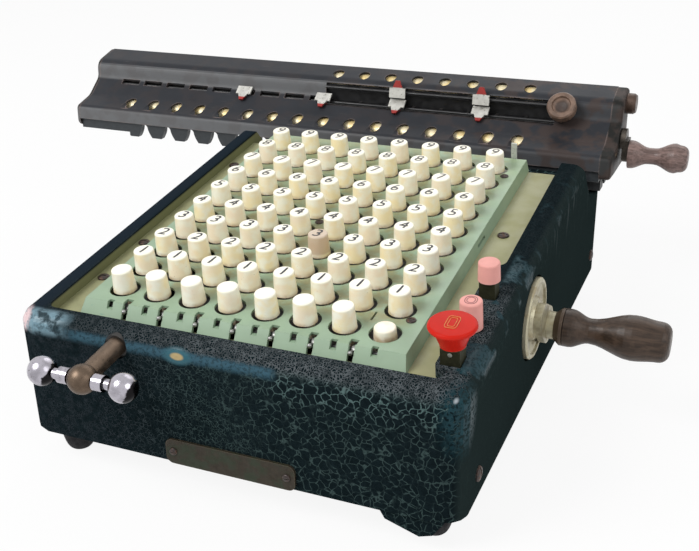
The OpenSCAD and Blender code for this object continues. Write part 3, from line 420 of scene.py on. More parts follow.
def add_button(mesh, radius, height, place, rim=0.25, turns=20):
    """A round head with a rounded rim whose foot stands on z = 0."""
    rings = []
    for step in range(5):
        angle = math.radians(22.5 * step)
        ring_radius = radius - rim * radius * (1 - math.cos(angle))
        level = height * (1 - rim) + height * rim * math.sin(angle)
        rings.append((ring_radius, level))
    rings = [(radius, 0)] + rings
    loops = [[mesh.verts.new(place @ Vector((r * math.cos(math.tau * i / turns),
                                             r * math.sin(math.tau * i / turns), level)))
              for i in range(turns)] for r, level in rings]
    for below, above in zip(loops, loops[1:]):
        for i in range(turns):
            j = (i + 1) % turns
            mesh.faces.new((below[i], below[j], above[j], above[i]))
    mesh.faces.new(loops[-1])
    mesh.faces.new(reversed(loops[0]))


def oval(width, height, squareness=2.0, count=40):
    """Outline of an oval, from round (2) to nearly square (above 4)."""
    points = []
    for i in range(count):
        angle = math.tau * i / count
        c, s = math.cos(angle), math.sin(angle)
        points.append(Vector((math.copysign(abs(c) ** (2 / squareness), c) * width / 2,
                              math.copysign(abs(s) ** (2 / squareness), s) * height / 2)))
    return points


# Settings

def colour(name, description, default):
    return FloatVectorProperty(name=name, description=description, default=default, subtype="COLOR",
                               min=0, max=1)


def length(name, description, default_mm):
    return FloatProperty(name=name, description=description, default=default_mm * MM, min=0,
                         subtype="DISTANCE", unit="LENGTH")


class CaseSettings(bpy.types.PropertyGroup):
    enamel: colour("Enamel", "Blue-black enamel between the cracks", (0.006, 0.011, 0.013))
    crack: colour("Cracks", "Pale lines of the crackle", (0.036, 0.058, 0.057))
    # This colour is also the painted sheen on the right edge and the front right corner
    worn: colour("Worn enamel", "Smooth teal enamel along the handled edges", (0.010, 0.058, 0.076))
    bare: colour("Bare spots", "Primer where the enamel has chipped", (0.62, 0.47, 0.48))
    cell: length("Crackle size", "Width of a cell of the crackle", 3.7)
    plate: colour("Front plate", "Dull brown plate on the front", (0.034, 0.027, 0.018))


class KeyboardSettings(bpy.types.PropertyGroup):
    plate: colour("Plate", "Pale green keyboard plate", (0.275, 0.385, 0.265))
    stain: colour("Stains", "Yellow-brown stains between the keys", (0.27, 0.23, 0.10))
    bed: colour("Bed", "Khaki bed round the plate", (0.32, 0.32, 0.17))
    screw: colour("Screws", "Dark rusty screws", (0.04, 0.03, 0.028))


class KeySettings(bpy.types.PropertyGroup):
    ivory: colour("Ivory", "Tops of the key caps", (0.97, 0.94, 0.80))
    aged: colour("Aged ivory", "Yellowed sides of the caps", (0.95, 0.82, 0.52))
    figure: colour("Figures", "Filled figures on the caps", (0.012, 0.012, 0.018))
    figure_size: length("Figure size", "Height of the figures' lines", 9.6)
    figure_depth: length("Figure thickness", "Depth of the filled figures", 0.35)
    lean: FloatProperty(name="Lean", description="Slant of the figures to the right", default=0.12,
                        min=-0.5, max=0.5)
    red: colour("Red key", "Mushroom key", (0.55, 0.018, 0.010))
    pink: colour("Pink keys", "Two pink keys", (0.78, 0.37, 0.33))
    gold: colour("Gold line", "Outline on the red key", (0.60, 0.22, 0.06))


class MetalSettings(bpy.types.PropertyGroup):
    nickel: colour("Crank", "Worn nickel over brass", (0.46, 0.43, 0.31))
    bronze: colour("Bronze", "Aged bronze of the shift shaft", (0.15, 0.108, 0.078))
    chrome: colour("Chrome", "Balls of the shift handle", (0.46, 0.44, 0.49))
    steel: colour("Steel", "Frames and shafts", (0.32, 0.32, 0.32))
    brass: colour("Brass", "Bushes and drums", (0.60, 0.45, 0.20))
    walnut: colour("Crank grip", "Dark varnished wood", (0.045, 0.029, 0.020))
    mahogany: colour("Clearing grip", "Worn reddish wood", (0.165, 0.112, 0.10))


class CarriageSettings(bpy.types.PropertyGroup):
    cover: colour("Cover", "Satin dark grey of the cover", (0.027, 0.029, 0.034))
    casting: colour("Ends", "Black of the end castings", (0.016, 0.016, 0.015))
    worn: colour("Worn edges", "Primer that shows along the edges", (0.22, 0.17, 0.155))
    dial: colour("Dials", "Cream and gold numeral wheels", (0.78, 0.60, 0.27))
    pointer: colour("Pointers", "Bare metal of the pointers", (0.58, 0.57, 0.53))
    tip: colour("Pointer tips", "Red tips", (0.38, 0.04, 0.035))
    knob: colour("Knob", "Mottled copper-brown knob", (0.17, 0.11, 0.08))


class StageSettings(bpy.types.PropertyGroup):
    floor: colour("Floor", "Pale floor", (0.84, 0.84, 0.84))
    key_power: FloatProperty(name="Main lamp", description="Power of the main lamp", default=21, min=0,
                             subtype="POWER", unit="POWER")
    fill_power: FloatProperty(name="Fill lamp", description="Power of the fill lamp", default=4, min=0,
                              subtype="POWER", unit="POWER")
    sky: FloatProperty(name="Sky", description="Strength of the light from all round", default=0.5,
                       min=0, max=1)


SETTINGS = {"case": CaseSettings, "keyboard": KeyboardSettings, "keys": KeySettings,
            "metal": MetalSettings, "carriage": CarriageSettings, "stage": StageSettings}


def settings(name):
    return getattr(bpy.context.scene, "calculator_" + name)


# Finishes

def on_front(along, height):
    """A point on the case's front face, by its distance from the first key column and its height."""
    return Vector((DECK_ORIGIN.x + along * MM, CASE_LOW.y + 1 * MM, height * MM))


def crackle_lines(f, s, deck, width):
    """Pale lines of the crackle. Its cells are finest on the rim and at the left end."""
    along, run, up = deck
    on_rim = f.span(up, -8, -3)
    shaken = f.warped(4, 1.7)
    cell = s.cell / MM
    coarse = f.span(f.cells(cell, shaken), 0.075, 0.012)
    medium = f.span(f.cells(cell * 0.5, shaken), 0.1, 0.02)
    fine = f.span(f.cells(cell * 0.3, shaken), 0.18, 0.05)
    reach = f.math("ADD", along, f.times(f.noise(30), 50))
    lines = f.mix(f.span(reach, 78, 122), medium, coarse)
    lines = f.mix(f.most(on_rim, f.span(reach, 34, 2)), lines, fine)
    gaps = f.span(f.noise(3.5), 0.36, 0.56, f.span(on_rim, 0, 1, 0.12, 0.5), 1)
    plain = f.times(on_rim, f.most(f.span(run, 40, 66), f.span(along, -26, -32)))
    smooth = f.most(f.span(along, width - 5, width - 1.5), plain)
    return f.times(lines, f.span(along, -30, 90, 0.3, 1), gaps, f.span(smooth, 0, 1, 1, 0.1))


def worn_edges(f, deck, width):
    """Masks on the rounded front edge of teal wear with painted sheen and of a blue painted sheen, and of
    dark teal wear with painted sheen at the right.
    """
    along, run, up = deck
    front_edge = f.times(f.span(run, -24.5, -28.5), f.span(up, -10.5, -6.5))
    speckle = f.blots(1.5, 0.38, 0.56, 3, 0.7)
    ragged = f.math("ADD", along, f.times(f.noise(9, 3), 18))
    # Teal on the front-left edge: worn enamel, lightened with a painted sheen
    teal = f.times(front_edge, f.span(ragged, 2, -14), f.span(f.noise(6, 4, 0.65), 0.36, 0.56, 0.15, 1))
    # A blue band along the rounded front edge: painted sheen
    blue_sheen = f.times(front_edge, f.span(speckle, 0, 1, 0.45, 1), f.span(along, 98, 92),
                    f.span(along, -18, -2), f.span(up, -3.2, -5.5))
    # Dark teal on the right edge, the front right corner and the right side: worn enamel and painted sheen
    right_edge = f.times(f.span(along, width - 11, width - 8), f.span(up, -12, -6))
    patches = f.times(right_edge, f.blots(20, 0.5, 0.58, 3, 0.6), f.span(speckle, 0, 1, 0.4, 1),
                      f.span(run, 120, 50, 0.35, 1))
    corner = f.times(f.near(on_front(178, 68), 13, 0.3, (1, 0.6, 0.5)), speckle)
    streak = f.blots(6, 0.56, 0.68, 3, 0.6, f.stretched((1, 1, 0.16)))
    side = f.times(f.span(along, width - 5, width - 1.5),
                   f.span(f.axis(f.place, "Z"), 60 * MM, 110 * MM), streak, 0.25)
    return teal, blue_sheen, f.most(patches, corner, side)


def crackle_enamel(s):
    """Crackled enamel, worn smooth along the handled edges and on the right side, with painted sheen on the
    edges, the left rim and the right side, and a painted highlight at the front right corner.
    """
    f = Finish("enamel_case")
    deck = along, run, up = f.deck()
    width = (CASE_HIGH.x - DECK_ORIGIN.x) / MM
    on_rim = f.span(up, -8, -3)
    left_rim_sheen = f.times(on_rim, f.span(along, -26, -32))
    lines = crackle_lines(f, s, deck, width)
    teal, blue_sheen, dark_wear_and_sheen = worn_edges(f, deck, width)
    lines = f.times(lines, f.span(f.most(dark_wear_and_sheen, teal, blue_sheen), 0.2, 0.8, 1, 0.15))
    base = f.cloudy(2.2, s.enamel, 0.5, 1.5)
    # Painted sheen: the right side gets a lighter teal enamel in place of its glancing reflection
    base = f.mix(f.span(along, width - 5, width - 1.5), base, (0.016, 0.025, 0.025))
    # Painted sheen: bluish enamel on the rim at the left end
    base = f.mix(left_rim_sheen, base, (0.013, 0.02, 0.028))
    below_edge = f.times(f.span(up, -24, -9), f.span(along, 80, 105))
    tint = f.mix(below_edge, s.crack, shade(s.crack, 2.3))
    tint = f.mix(f.span(along, 60, 0), tint, (0.045, 0.052, 0.062))
    tint = f.mix(on_rim, tint, (0.085, 0.098, 0.105))
    tone = f.mix(lines, base, tint)
    # Dark teal at the right: worn enamel and painted sheen
    tone = f.mix(dark_wear_and_sheen, tone, f.mix(f.noise(7, 3), shade(s.worn, 0.35), s.worn))
    # Painted sheen: the blue band on the rounded front edge
    tone = f.mix(f.times(blue_sheen, 0.7), tone, (0.055, 0.125, 0.17))
    # Painted sheen: pale teal laid over the worn front-left edge
    sheen_tone = f.mix(f.noise(4, 3), (0.06, 0.12, 0.15), (0.24, 0.39, 0.47))
    tone = f.mix(f.times(teal, 0.85), tone, sheen_tone)
    # A chip at the front left corner, a painted highlight at the front right corner and a chip on the front
    # edge
    chip = f.near(on_front(-37, 77), 5.6, 0.5, (1, 0.5, 0.62))
    tone = f.mix(f.times(chip, f.blots(2.4, 0.3, 0.5, 3)), tone, s.bare)
    # Painted highlight: a near-white spot on the front right corner
    glint = f.near(on_front(174.9, 75.4), 1.9, 0.35, (1, 0.4, 0.8))
    tone = f.mix(glint, tone, (0.86, 0.92, 0.97))
    dot = on_front(47.9, 72.5)
    halo = f.near(dot, 5.5, 0.5, (0.62, 0.6, 1.1))
    tone = f.mix(f.times(halo, 0.8), tone, shade(s.worn, 1.7))
    tone = f.mix(f.near(dot, 2.5, 0.6, (0.6, 0.6, 1.2)), tone, (0.38, 0.29, 0.14))
    # The bed's khaki runs up the well's left wall
    well = f.times(f.span(along, -37, -36), f.span(along, -20, -21), f.span(up, -1.2, -2.6),
                   f.span(run, -24.5, -23), f.span(up, -12, -11))
    tone = f.mix(well, tone, shade(settings("keyboard").bed, 0.6))
    gloss = f.most(teal, f.times(dark_wear_and_sheen, 0.5), halo, glint)
    f.put(f.shader.inputs["Specular IOR Level"], f.span(gloss, 0, 1, 0, 0.3))
    f.bump(lines, 0.07)
    f.bump(f.noise(1.3), 0.03)
    return f.dress(tone, f.math("ADD", f.span(gloss, 0, 1, 0.45, 0.28), f.times(lines, 0.2)))


def dull_plate(s):
    """Blank plate, brown with dull green patches and soft dents."""
    f = Finish("plate_brown", Metallic=0.2, Specular_IOR_Level=0.25)
    patches = f.blots(9, 0.45, 0.62, 4, 0.6)
    tone = f.cloudy(2, s.plate, 0.55, 1.35)
    tone = f.mix(patches, tone, (0.026, 0.033, 0.019))
    tone = f.mix(f.edges(0.8), tone, shade(s.plate, 2.5))
    f.bump(f.noise(5, 3), 0.35)
    return f.dress(tone, f.uneven(3, 0.35, 0.6))


def plain_rubber():
    f = Finish("foot_rubber", Specular_IOR_Level=0.2)
    tone = f.mix(f.noise(4, 3), (0.010, 0.010, 0.012), (0.028, 0.028, 0.03))
    f.bump(f.noise(1.2, 3), 0.08)
    return f.dress(tone, f.uneven(3, 0.6, 0.85))


def blackened_metal(name, tone, worn, rough=0.45, metallic=0.3):
    """Dark painted or blackened metal with a fine grain and bright worn edges."""
    f = Finish(name, Metallic=metallic)
    grain = f.cloudy(2.5, tone, 0.6, 1.4, 4, 0.6)
    mask = f.times(f.edges(0.9), f.blots(7, 0.4, 0.6, 3))
    f.bump(f.noise(0.9, 3), 0.03)
    return f.dress(f.mix(mask, grain, worn), f.uneven(5, rough - 0.08, rough + 0.12))


def green_plate(s):
    """Pale green enamel, stained between the keys and rubbed along the folds."""
    f = Finish("green_paint")
    along, run, _ = f.deck()
    inside = f.times(f.span(along, -8, 4), f.span(along, 146, 132), f.span(run, -2, 14))
    stain = f.times(inside, f.blots(9, 0.34, 0.62, 3, 0.6))
    tone = f.cloudy(14, s.plate, 0.86, 1.08)
    tone = f.mix(f.times(stain, 0.75), tone, s.stain)
    rear = f.span(run, 110, 185)
    tone = f.mix(f.times(rear, f.noise(16), 0.7), tone, (0.30, 0.40, 0.21))
    scuffs = f.blots(2.2, 0.66, 0.74, 4, 0.7, f.stretched((0.35, 1, 1)))
    tone = f.mix(f.times(scuffs, 0.5), tone, (0.10, 0.26, 0.22))
    rub = f.times(f.edges(1.0), f.blots(5, 0.42, 0.6, 3))
    tone = f.mix(f.times(rub, 0.7), tone, (0.14, 0.20, 0.13))
    f.bump(f.noise(1.5, 3), 0.03)
    f.bump(f.noise(22), 0.4)
    return f.dress(tone, f.uneven(12, 0.3, 0.5))


def khaki_bed(s):
    """Khaki paint, yellower to the right and mottled at the left."""
    f = Finish("khaki_paint")
    yellow = f.span(f.deck()[0], 120, 160)
    tone = f.cloudy(7, s.bed, 0.62, 1.12, 4, 0.6)
    tone = f.mix(f.times(yellow, 0.8), tone, (0.27, 0.265, 0.125))
    grime = f.blots(3.5, 0.62, 0.76, 4, 0.7)
    tone = f.mix(f.times(grime, f.span(yellow, 0, 1, 0.55, 0.2)), tone, (0.075, 0.068, 0.045))
    f.bump(f.noise(1.4, 3), 0.04)
    return f.dress(tone, f.uneven(9, 0.38, 0.6))


def rusty_screw(s):
    f = Finish("screw_metal", Metallic=0.5)
    rust = f.blots(1.6, 0.48, 0.66, 4, 0.7)
    tone = f.mix(rust, s.screw, (0.11, 0.055, 0.035))
    tone = f.mix(f.times(f.edges(0.4), 0.6), tone, (0.22, 0.2, 0.18))
    f.bump(f.noise(0.8, 3), 0.06)
    return f.dress(tone, f.span(rust, 0, 1, 0.38, 0.75))


def aged_ivory(s):
    """Cap material: pale tops, yellowed sides, grime at the foot; each key a little different."""
    f = Finish("ivory_plastic", Coat_Weight=0.25, Coat_Roughness=0.12, IOR=1.5)
    up = f.deck()[2]
    top = f.span(up, 9.6, 10.6)
    per_key = f.noise(23, 1)
    warm = f.span(per_key, 0.38, 0.62)
    side = f.mix(warm, s.aged, (0.92, 0.80, 0.62))
    side = f.mix(f.blots(6, 0.35, 0.7), side, shade(s.ivory, 0.98))
    tone = f.mix(top, side, s.ivory)
    grime = f.times(f.span(up, 2.2, -0.6), f.uneven(4, 0.15, 0.75, 3))
    tone = f.mix(grime, tone, (0.42, 0.27, 0.13))
    brown = f.near((4 * KEY_PITCH, 3 * ROW_PITCH, 8 * MM), 9.3, 0.85,
                   place=f.local(DECK_ORIGIN, DECK_TILT))
    tone = f.mix(f.times(brown, 0.65), tone, (0.42, 0.25, 0.15))
    specks = f.times(f.blots(0.9, 0.70, 0.76), f.blots(15, 0.5, 0.65, 1))
    tone = f.mix(f.times(specks, 0.6), tone, (0.22, 0.14, 0.08))
    f.bump(f.noise(2.5), 0.025)
    return f.dress(tone, f.uneven(8, 0.28, 0.42))


def filled_figure(s):
    f = Finish("figure_fill")
    faded = f.times(f.span(f.deck()[1], 40, 180), f.span(f.noise(15), 0.3, 0.6, 0.6, 1))
    tone = f.mix(f.blots(1.4, 0.5, 0.75, 3), s.figure, (0.09, 0.08, 0.08))
    tone = f.mix(f.times(faded, 0.55), tone, (0.26, 0.24, 0.21))
    return f.dress(tone, 0.45)


def glossy_key(name, cap, highlight, post_top):
    """Glossy cap on a dark oily post that ends at post_top above the plate."""
    f = Finish(name, Coat_Weight=0.03, Coat_Roughness=0.06, Specular_IOR_Level=0.05)
    post = f.span(f.deck()[2], post_top / MM + 0.2, post_top / MM - 0.1)
    tone = f.cloudy(7, cap, 0.85, 1.1)
    tone = f.mix(f.times(f.edges(0.7), 0.35), tone, highlight)
    oily = f.mix(f.noise(3, 4, 0.6), (0.015, 0.016, 0.010), (0.07, 0.07, 0.04))
    f.bump(f.noise(3), 0.03)
    return f.dress(f.mix(post, tone, oily), f.span(post, 0, 1, 0.22, 0.5), f.times(post, 0.6))


def worn_nickel(s):
    """Nickel worn through to brass, darker in the hollow of the disc and on the grip's collar."""
    f = Finish("crank_metal", Specular_IOR_Level=0.3)
    wear = f.blots(8, 0.45, 0.66, 4, 0.6)
    tone = f.mix(wear, s.nickel, (0.36, 0.31, 0.20))
    low, high = corners("crank_disc")
    hub = Vector((CASE_HIGH.x + 2 * MM, (low.y + high.y) / 2, (low.z + high.z) / 2))
    hollow = f.times(f.near(hub, 17.5, 0.8, (0.2, 1, 1)), f.blots(5, 0.4, 0.65, 3))
    tone = f.mix(f.times(hollow, 0.45), tone, (0.17, 0.145, 0.10))
    tone = f.mix(f.blots(1.3, 0.68, 0.78, 3), tone, (0.14, 0.10, 0.06))
    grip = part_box("crank_grip")[0][0]
    collar = f.span(f.axis(f.place, "X"), grip - 5.2 * MM, grip - 4.8 * MM)
    tone = f.mix(f.times(collar, 0.92), tone, (0.062, 0.035, 0.024))
    f.bump(f.noise(1.2, 2, place=f.stretched((4, 0.4, 0.4))), 0.03)
    return f.dress(tone, f.uneven(4, 0.34, 0.54), f.span(collar, 0, 1, 0.7, 0.2))


def turned_wood(name, tone, pale, centre):
    """Turned wood with its grain along X, rubbed pale in patches."""
    f = Finish(name, Coat_Weight=0.12, Coat_Roughness=0.22, Specular_IOR_Level=0.2)
    about = f.local(centre)
    grain = f.noise(1.5, 4, 0.6, 0.4, place=f.stretched((0.07, 1, 1), about))
    pores = f.blots(0.5, 0.6, 0.72, 3, place=f.stretched((0.05, 1, 1), about))
    wood = f.mix(f.span(grain, 0.3, 0.7), shade(tone, 0.6), shade(tone, 1.5))
    wood = f.mix(f.times(pores, 0.5), wood, shade(tone, 0.3))
    rubbed = f.blots(9, 0.5, 0.7, 3, 0.6)
    wood = f.mix(f.times(rubbed, 0.6), wood, pale)
    f.bump(grain, 0.06)
    return f.dress(wood, f.uneven(6, 0.3, 0.5))


def handle_metal(s):
    """Chrome with painted dark reflections on the sides towards the case; the hub ball in the middle is bare
    bronze.
    """
    low, high = corners("shift_handle")
    f = Finish("handle_chrome")
    hub = f.near((low + high) / 2, 7.6, 0.95)
    normal = f.node("ShaderNodeNewGeometry").outputs["Normal"]
    facing = f.node("ShaderNodeVectorMath", {0: normal, 1: (0.9, 0.12, -0.4)}, operation="DOT_PRODUCT")
    painted_reflection = f.span(f.math("ADD", facing.outputs["Value"], f.times(f.noise(3, 3, 0.6), 0.5)), 0.68, 0.78)
    haze = f.blots(5, 0.4, 0.65, 3)
    tone = f.mix(haze, s.chrome, shade(s.chrome, 0.7))
    tone = f.mix(f.blots(1.1, 0.62, 0.7, 3, 0.7), tone, (0.10, 0.09, 0.09))
    # Painted reflection of the dark case on the sides of the balls that face it
    tone = f.mix(painted_reflection, tone, (0.012, 0.011, 0.012))
    brown = f.cloudy(2.5, s.bronze, 0.45, 1.2)
    tone = f.mix(hub, tone, brown)
    return f.dress(tone, f.most(f.times(hub, 0.42), f.span(haze, 0, 1, 0.16, 0.3)), 0.95)


def aged_metal(name, tone, dark, size=3, rough=0.4, metallic=0.85):
    """Bare metal with dark pits and a dull bloom."""
    f = Finish(name)
    bloom = f.cloudy(size * 2, tone, 0.7, 1.25)
    pits = f.blots(size * 0.4, 0.58, 0.7, 4, 0.7)
    f.bump(pits, -0.04)
    return f.dress(f.mix(pits, bloom, dark), f.uneven(size, rough - 0.1, rough + 0.12),
                   metallic)


def bush_metal(s):
    """Brass bushes; those in the front wall are black with oil."""
    f = Finish("bush_brass")
    front = f.span(f.axis(f.place, "Y"), CASE_LOW.y + 16 * MM, CASE_LOW.y + 12 * MM)
    brass = f.mix(f.noise(4, 3), shade(s.brass, 0.6), s.brass)
    return f.dress(f.mix(front, brass, (0.01, 0.009, 0.008)), 0.45, f.span(front, 0, 1, 0.85, 0.1))


def carriage_enamel(name, tone, worn, rough=0.36):
    """Satin dark enamel with a painted highlight on its upright faces at the left, with brown bloom and worn
    edges.
    """
    f = Finish(name, Specular_IOR_Level=0.1)
    cloud = f.noise(24, 4, 0.6)
    along = f.axis(f.place, "X")
    paint_colour = f.mix(cloud, shade(tone, 0.75), shade(tone, 1.3))
    steep = f.axis(f.node("ShaderNodeNewGeometry").outputs["Normal"], "Y")
    # Painted highlight: faces that look forward are made pale, most at the left
    pale = f.times(f.span(steep, -0.72, -0.93), f.span(along, 0.22, -0.08, 0.15, 1))
    paint_colour = f.mix(f.times(pale, 0.75), paint_colour, (0.165, 0.168, 0.172))
    bloom = f.times(f.blots(11, 0.44, 0.6, 3), f.span(along, 0.0, 0.15, 0.25, 1))
    paint_colour = f.mix(f.times(bloom, 0.7), paint_colour, (0.062, 0.044, 0.038))
    scratch = f.blots(1.2, 0.66, 0.74, 3, 0.6, f.stretched((0.06, 1, 1)))
    paint_colour = f.mix(f.times(scratch, 0.35), paint_colour, (0.12, 0.115, 0.115))
    rub = f.times(f.edges(1.1), f.blots(9, 0.38, 0.58, 3))
    paint_colour = f.mix(f.times(rub, 0.8), paint_colour, worn)
    f.bump(f.noise(1.1, 3), 0.03)
    f.bump(f.noise(30), 0.25)
    return f.dress(paint_colour, f.span(cloud, 0.3, 0.7, rough - 0.06, rough + 0.1))


def dial_wheel(s):
    """Cream enamel on the wheels, gold where it has yellowed."""
    f = Finish("dial_brass", Metallic=0.25)
    gold = f.blots(6, 0.4, 0.62, 3)
    tone = f.mix(gold, (0.82, 0.72, 0.48), s.dial)
    tone = f.mix(f.blots(1.8, 0.62, 0.74, 3), tone, (0.30, 0.18, 0.06))
    f.bump(f.noise(1.5), 0.03)
    return f.dress(tone, f.uneven(4, 0.3, 0.5))


def pointer_finish(name, s, node, tip_is_low):
    """Bare pointers with red tips. The tips are their lowest or highest third."""
    low, high = corners(node)
    f = Finish(name, Metallic=0.55)
    up = f.axis(f.place, "Z")
    near_tip = low.z + 0.30 * (high.z - low.z) if tip_is_low else high.z - 0.40 * (high.z - low.z)
    step = 0.25 * MM
    tip = f.span(up, near_tip + step, near_tip - step) if tip_is_low \
        else f.span(up, near_tip - step, near_tip + step)
    bare = f.cloudy(3, s.pointer, 0.7, 1.15)
    bare = f.mix(f.blots(1.3, 0.6, 0.72, 3), bare, (0.20, 0.19, 0.15))
    red = f.mix(f.noise(1.5, 3), shade(s.tip, 0.6), s.tip)
    f.bump(f.noise(1, 3), 0.03)
    return f.dress(f.mix(tip, bare, red), f.uneven(3, 0.32, 0.5))


def mottled_knob(s):
    f = Finish("knob_plastic", Specular_IOR_Level=0.3)
    low, high = corners("carriage_knob")
    turn = math.radians(KNOB_TILT)
    radius = (high.x - low.x) / 2
    top = Vector((low.x + radius, low.y + radius * math.cos(turn), high.z - radius * math.sin(turn)))
    mottle = f.blots(4, 0.36, 0.66)
    tone = f.mix(mottle, shade(s.knob, 0.75), shade(s.knob, 1.2))
    tone = f.mix(f.times(f.edges(0.8), 0.4), tone, (0.26, 0.17, 0.13))
    tone = f.mix(f.times(f.near(top, 5, 0.7), 0.8), tone, (0.03, 0.022, 0.02))
    return f.dress(tone, f.uneven(3, 0.3, 0.5))


# Operators

class CALC_OT_case(bpy.types.Operator):
    """Finishes the case, its base, feet, screws and the blank front plate."""
    bl_idname = "calc.case"
    bl_label = "Case"

    def execute(self, context):
        s = settings("case")
        paint(crackle_enamel(s), "case_shell")
        paint(blackened_metal("base_steel", (0.02, 0.02, 0.02), (0.12, 0.1, 0.09)), "base_plate")
        paint(plain_rubber(), "feet")
        paint(dull_plate(s), "name_plate")
        paint(rusty_screw(settings("keyboard")), "screws")
        return {"FINISHED"}


class CALC_OT_keyboard(bpy.types.Operator):
    """Finishes the keyboard plate, the bed, the marker post and the column tabs."""
    bl_idname = "calc.keyboard"
    bl_label = "Keyboard"

    def execute(self, context):
        s = settings("keyboard")
        paint(green_plate(s), "keyboard_plate")
        paint(khaki_bed(s), "keyboard_bed")
        paint(aged_metal("pale_metal", (0.5, 0.52, 0.48), (0.2, 0.2, 0.16), 3, 0.45, 0.3), "column_marker")
        tabs = aged_metal("tab_chrome", (0.30, 0.30, 0.29), (0.04, 0.035, 0.03), 2, 0.35)
        paint(tabs, *(f"column_tab_{i}" for i in range(1, COLUMNS)))
        return {"FINISHED"}


class CALC_OT_keys(bpy.types.Operator):
    """Finishes the ivory keys and puts a filled figure on each numbered cap."""
    bl_idname = "calc.keys"
    bl_label = "Keys"

    def execute(self, context):
        s = settings("keys")
        ivory = aged_ivory(s)
        rule = key_figures_rule()
        fill = filled_figure(s)
        for i in range(1, COLUMNS + 1):
            paint(ivory, f"digit_keys_{i}", f"clear_key_{i}")
            figures = grow(rule, f"key_figures_{i}", {
                "Column": (i - 1) * KEY_PITCH, "Size": s.figure_size, "Thickness": s.figure_depth,
                "Lean": s.lean, "Cap height": CAP_HEIGHT - CAP_SINK - s.figure_depth * 0.3,
                "Deck origin": DECK_ORIGIN, "Row pitch": ROW_PITCH, "Deck tilt": DECK_TILT,
                "Material": fill})
            keep(figures, f"digit_keys_{i}")
        return {"FINISHED"}


class CALC_OT_function_keys(bpy.types.Operator):
    """Finishes the red and pink keys and adds the gold figure, the rings and the post's pin."""
    bl_idname = "calc.function_keys"
    bl_label = "Function keys"

    def execute(self, context):
        s = settings("keys")
        post = FUNCTION_POST_TOP
        paint(glossy_key("red_plastic", s.red, (0.85, 0.35, 0.3), post), "red_key")
        paint(glossy_key("pink_plastic", s.pink, (0.9, 0.7, 0.68), post + 0.4 * MM), "pink_key_rear")
        paint(glossy_key("pink_plastic_front", s.pink, (0.9, 0.7, 0.68), -2 * MM), "pink_key_front")
        gold = aged_metal("gold_line", s.gold, (0.12, 0.07, 0.02), 1.5, 0.4, 0.6)
        zero = bmesh.new()
        sunk, proud, line = -0.15 * MM, 0.12 * MM, 0.3 * MM
        add_band(zero, oval(5.4 * MM, 9.2 * MM, 4.5), line, sunk, proud)
        add_band(zero, oval(3.2 * MM, 6.8 * MM, 4.5), line, sunk, proud)
        keep(piece_from("red_key_zero", zero, gold, DECK @ Matrix.Translation(RED_KEY)), "red_key")
        rose = aged_metal("rose_line", (0.30, 0.12, 0.12), (0.12, 0.05, 0.05), 1.5, 0.5, 0)
        ring = bmesh.new()
        add_band(ring, oval(5.6 * MM, 6.4 * MM, 2.4), 0.35 * MM, sunk, proud)
        add_band(ring, oval(3.8 * MM, 4.6 * MM, 2.4), 0.35 * MM, sunk, proud)
        keep(piece_from("pink_key_ring", ring, rose, DECK @ Matrix.Translation(PINK_FRONT_KEY)),
             "pink_key_front")
        pin = bmesh.new()
        face = Vector((FUNCTION_X, RED_KEY.y - RED_POST / 2 + 0.05 * MM, 4.4 * MM))
        add_button(pin, 1.0 * MM, 0.25 * MM, Matrix.Translation(face) @ Matrix.Rotation(math.pi / 2, 4, "X"))
        pale = aged_metal("pin_metal", (0.5, 0.5, 0.45), (0.2, 0.2, 0.16), 1, 0.4)
        keep(piece_from("red_key_pin", pin, pale, DECK), "red_key")
        return {"FINISHED"}


class CALC_OT_insides(bpy.types.Operator):
    """Finishes the frames, shafts, drums, bushes and rails inside the machine."""
    bl_idname = "calc.insides"
    bl_label = "Insides"

    def execute(self, context):
        s = settings("metal")
        paint(aged_metal("frame_steel", shade(s.steel, 0.5), (0.05, 0.04, 0.03), 5, 0.45),
              "side_frames", "tie_rods", "key_guide_plate")
        paint(blackened_metal("running_steel", (0.03, 0.032, 0.034), (0.1, 0.09, 0.08), 0.5),
              "carriage_frame", "carriage_rail")
        paint(aged_metal("shaft_steel", s.steel, (0.08, 0.06, 0.05), 3, 0.3),
              "drum_shaft", "selector_shaft")
        paint(aged_metal("drum_brass", s.brass, (0.15, 0.1, 0.04), 3, 0.35), "stepped_drums")
        paint(bush_metal(s), "shaft_bushes")
        return {"FINISHED"}


class CALC_OT_crank(bpy.types.Operator):
    """Finishes the crank disc and its wooden grip."""
    bl_idname = "calc.crank"
    bl_label = "Crank"

    def execute(self, context):
        s = settings("metal")
        low, high = corners("crank_grip")
        paint(worn_nickel(s), "crank_disc")
        paint(turned_wood("dark_wood", s.walnut, shade(s.walnut, 1.9), (low + high) / 2), "crank_grip")
        return {"FINISHED"}


class CALC_OT_shift_handle(bpy.types.Operator):
    """Finishes the bronze shift shaft and the chromed handle."""
    bl_idname = "calc.shift_handle"
    bl_label = "Shift handle"

    def execute(self, context):
        s = settings("metal")
        paint(handle_metal(s), "shift_handle")
        paint(aged_metal("bronze", s.bronze, (0.03, 0.025, 0.015), 3, 0.4), "shift_stub", "shift_shaft")
        return {"FINISHED"}


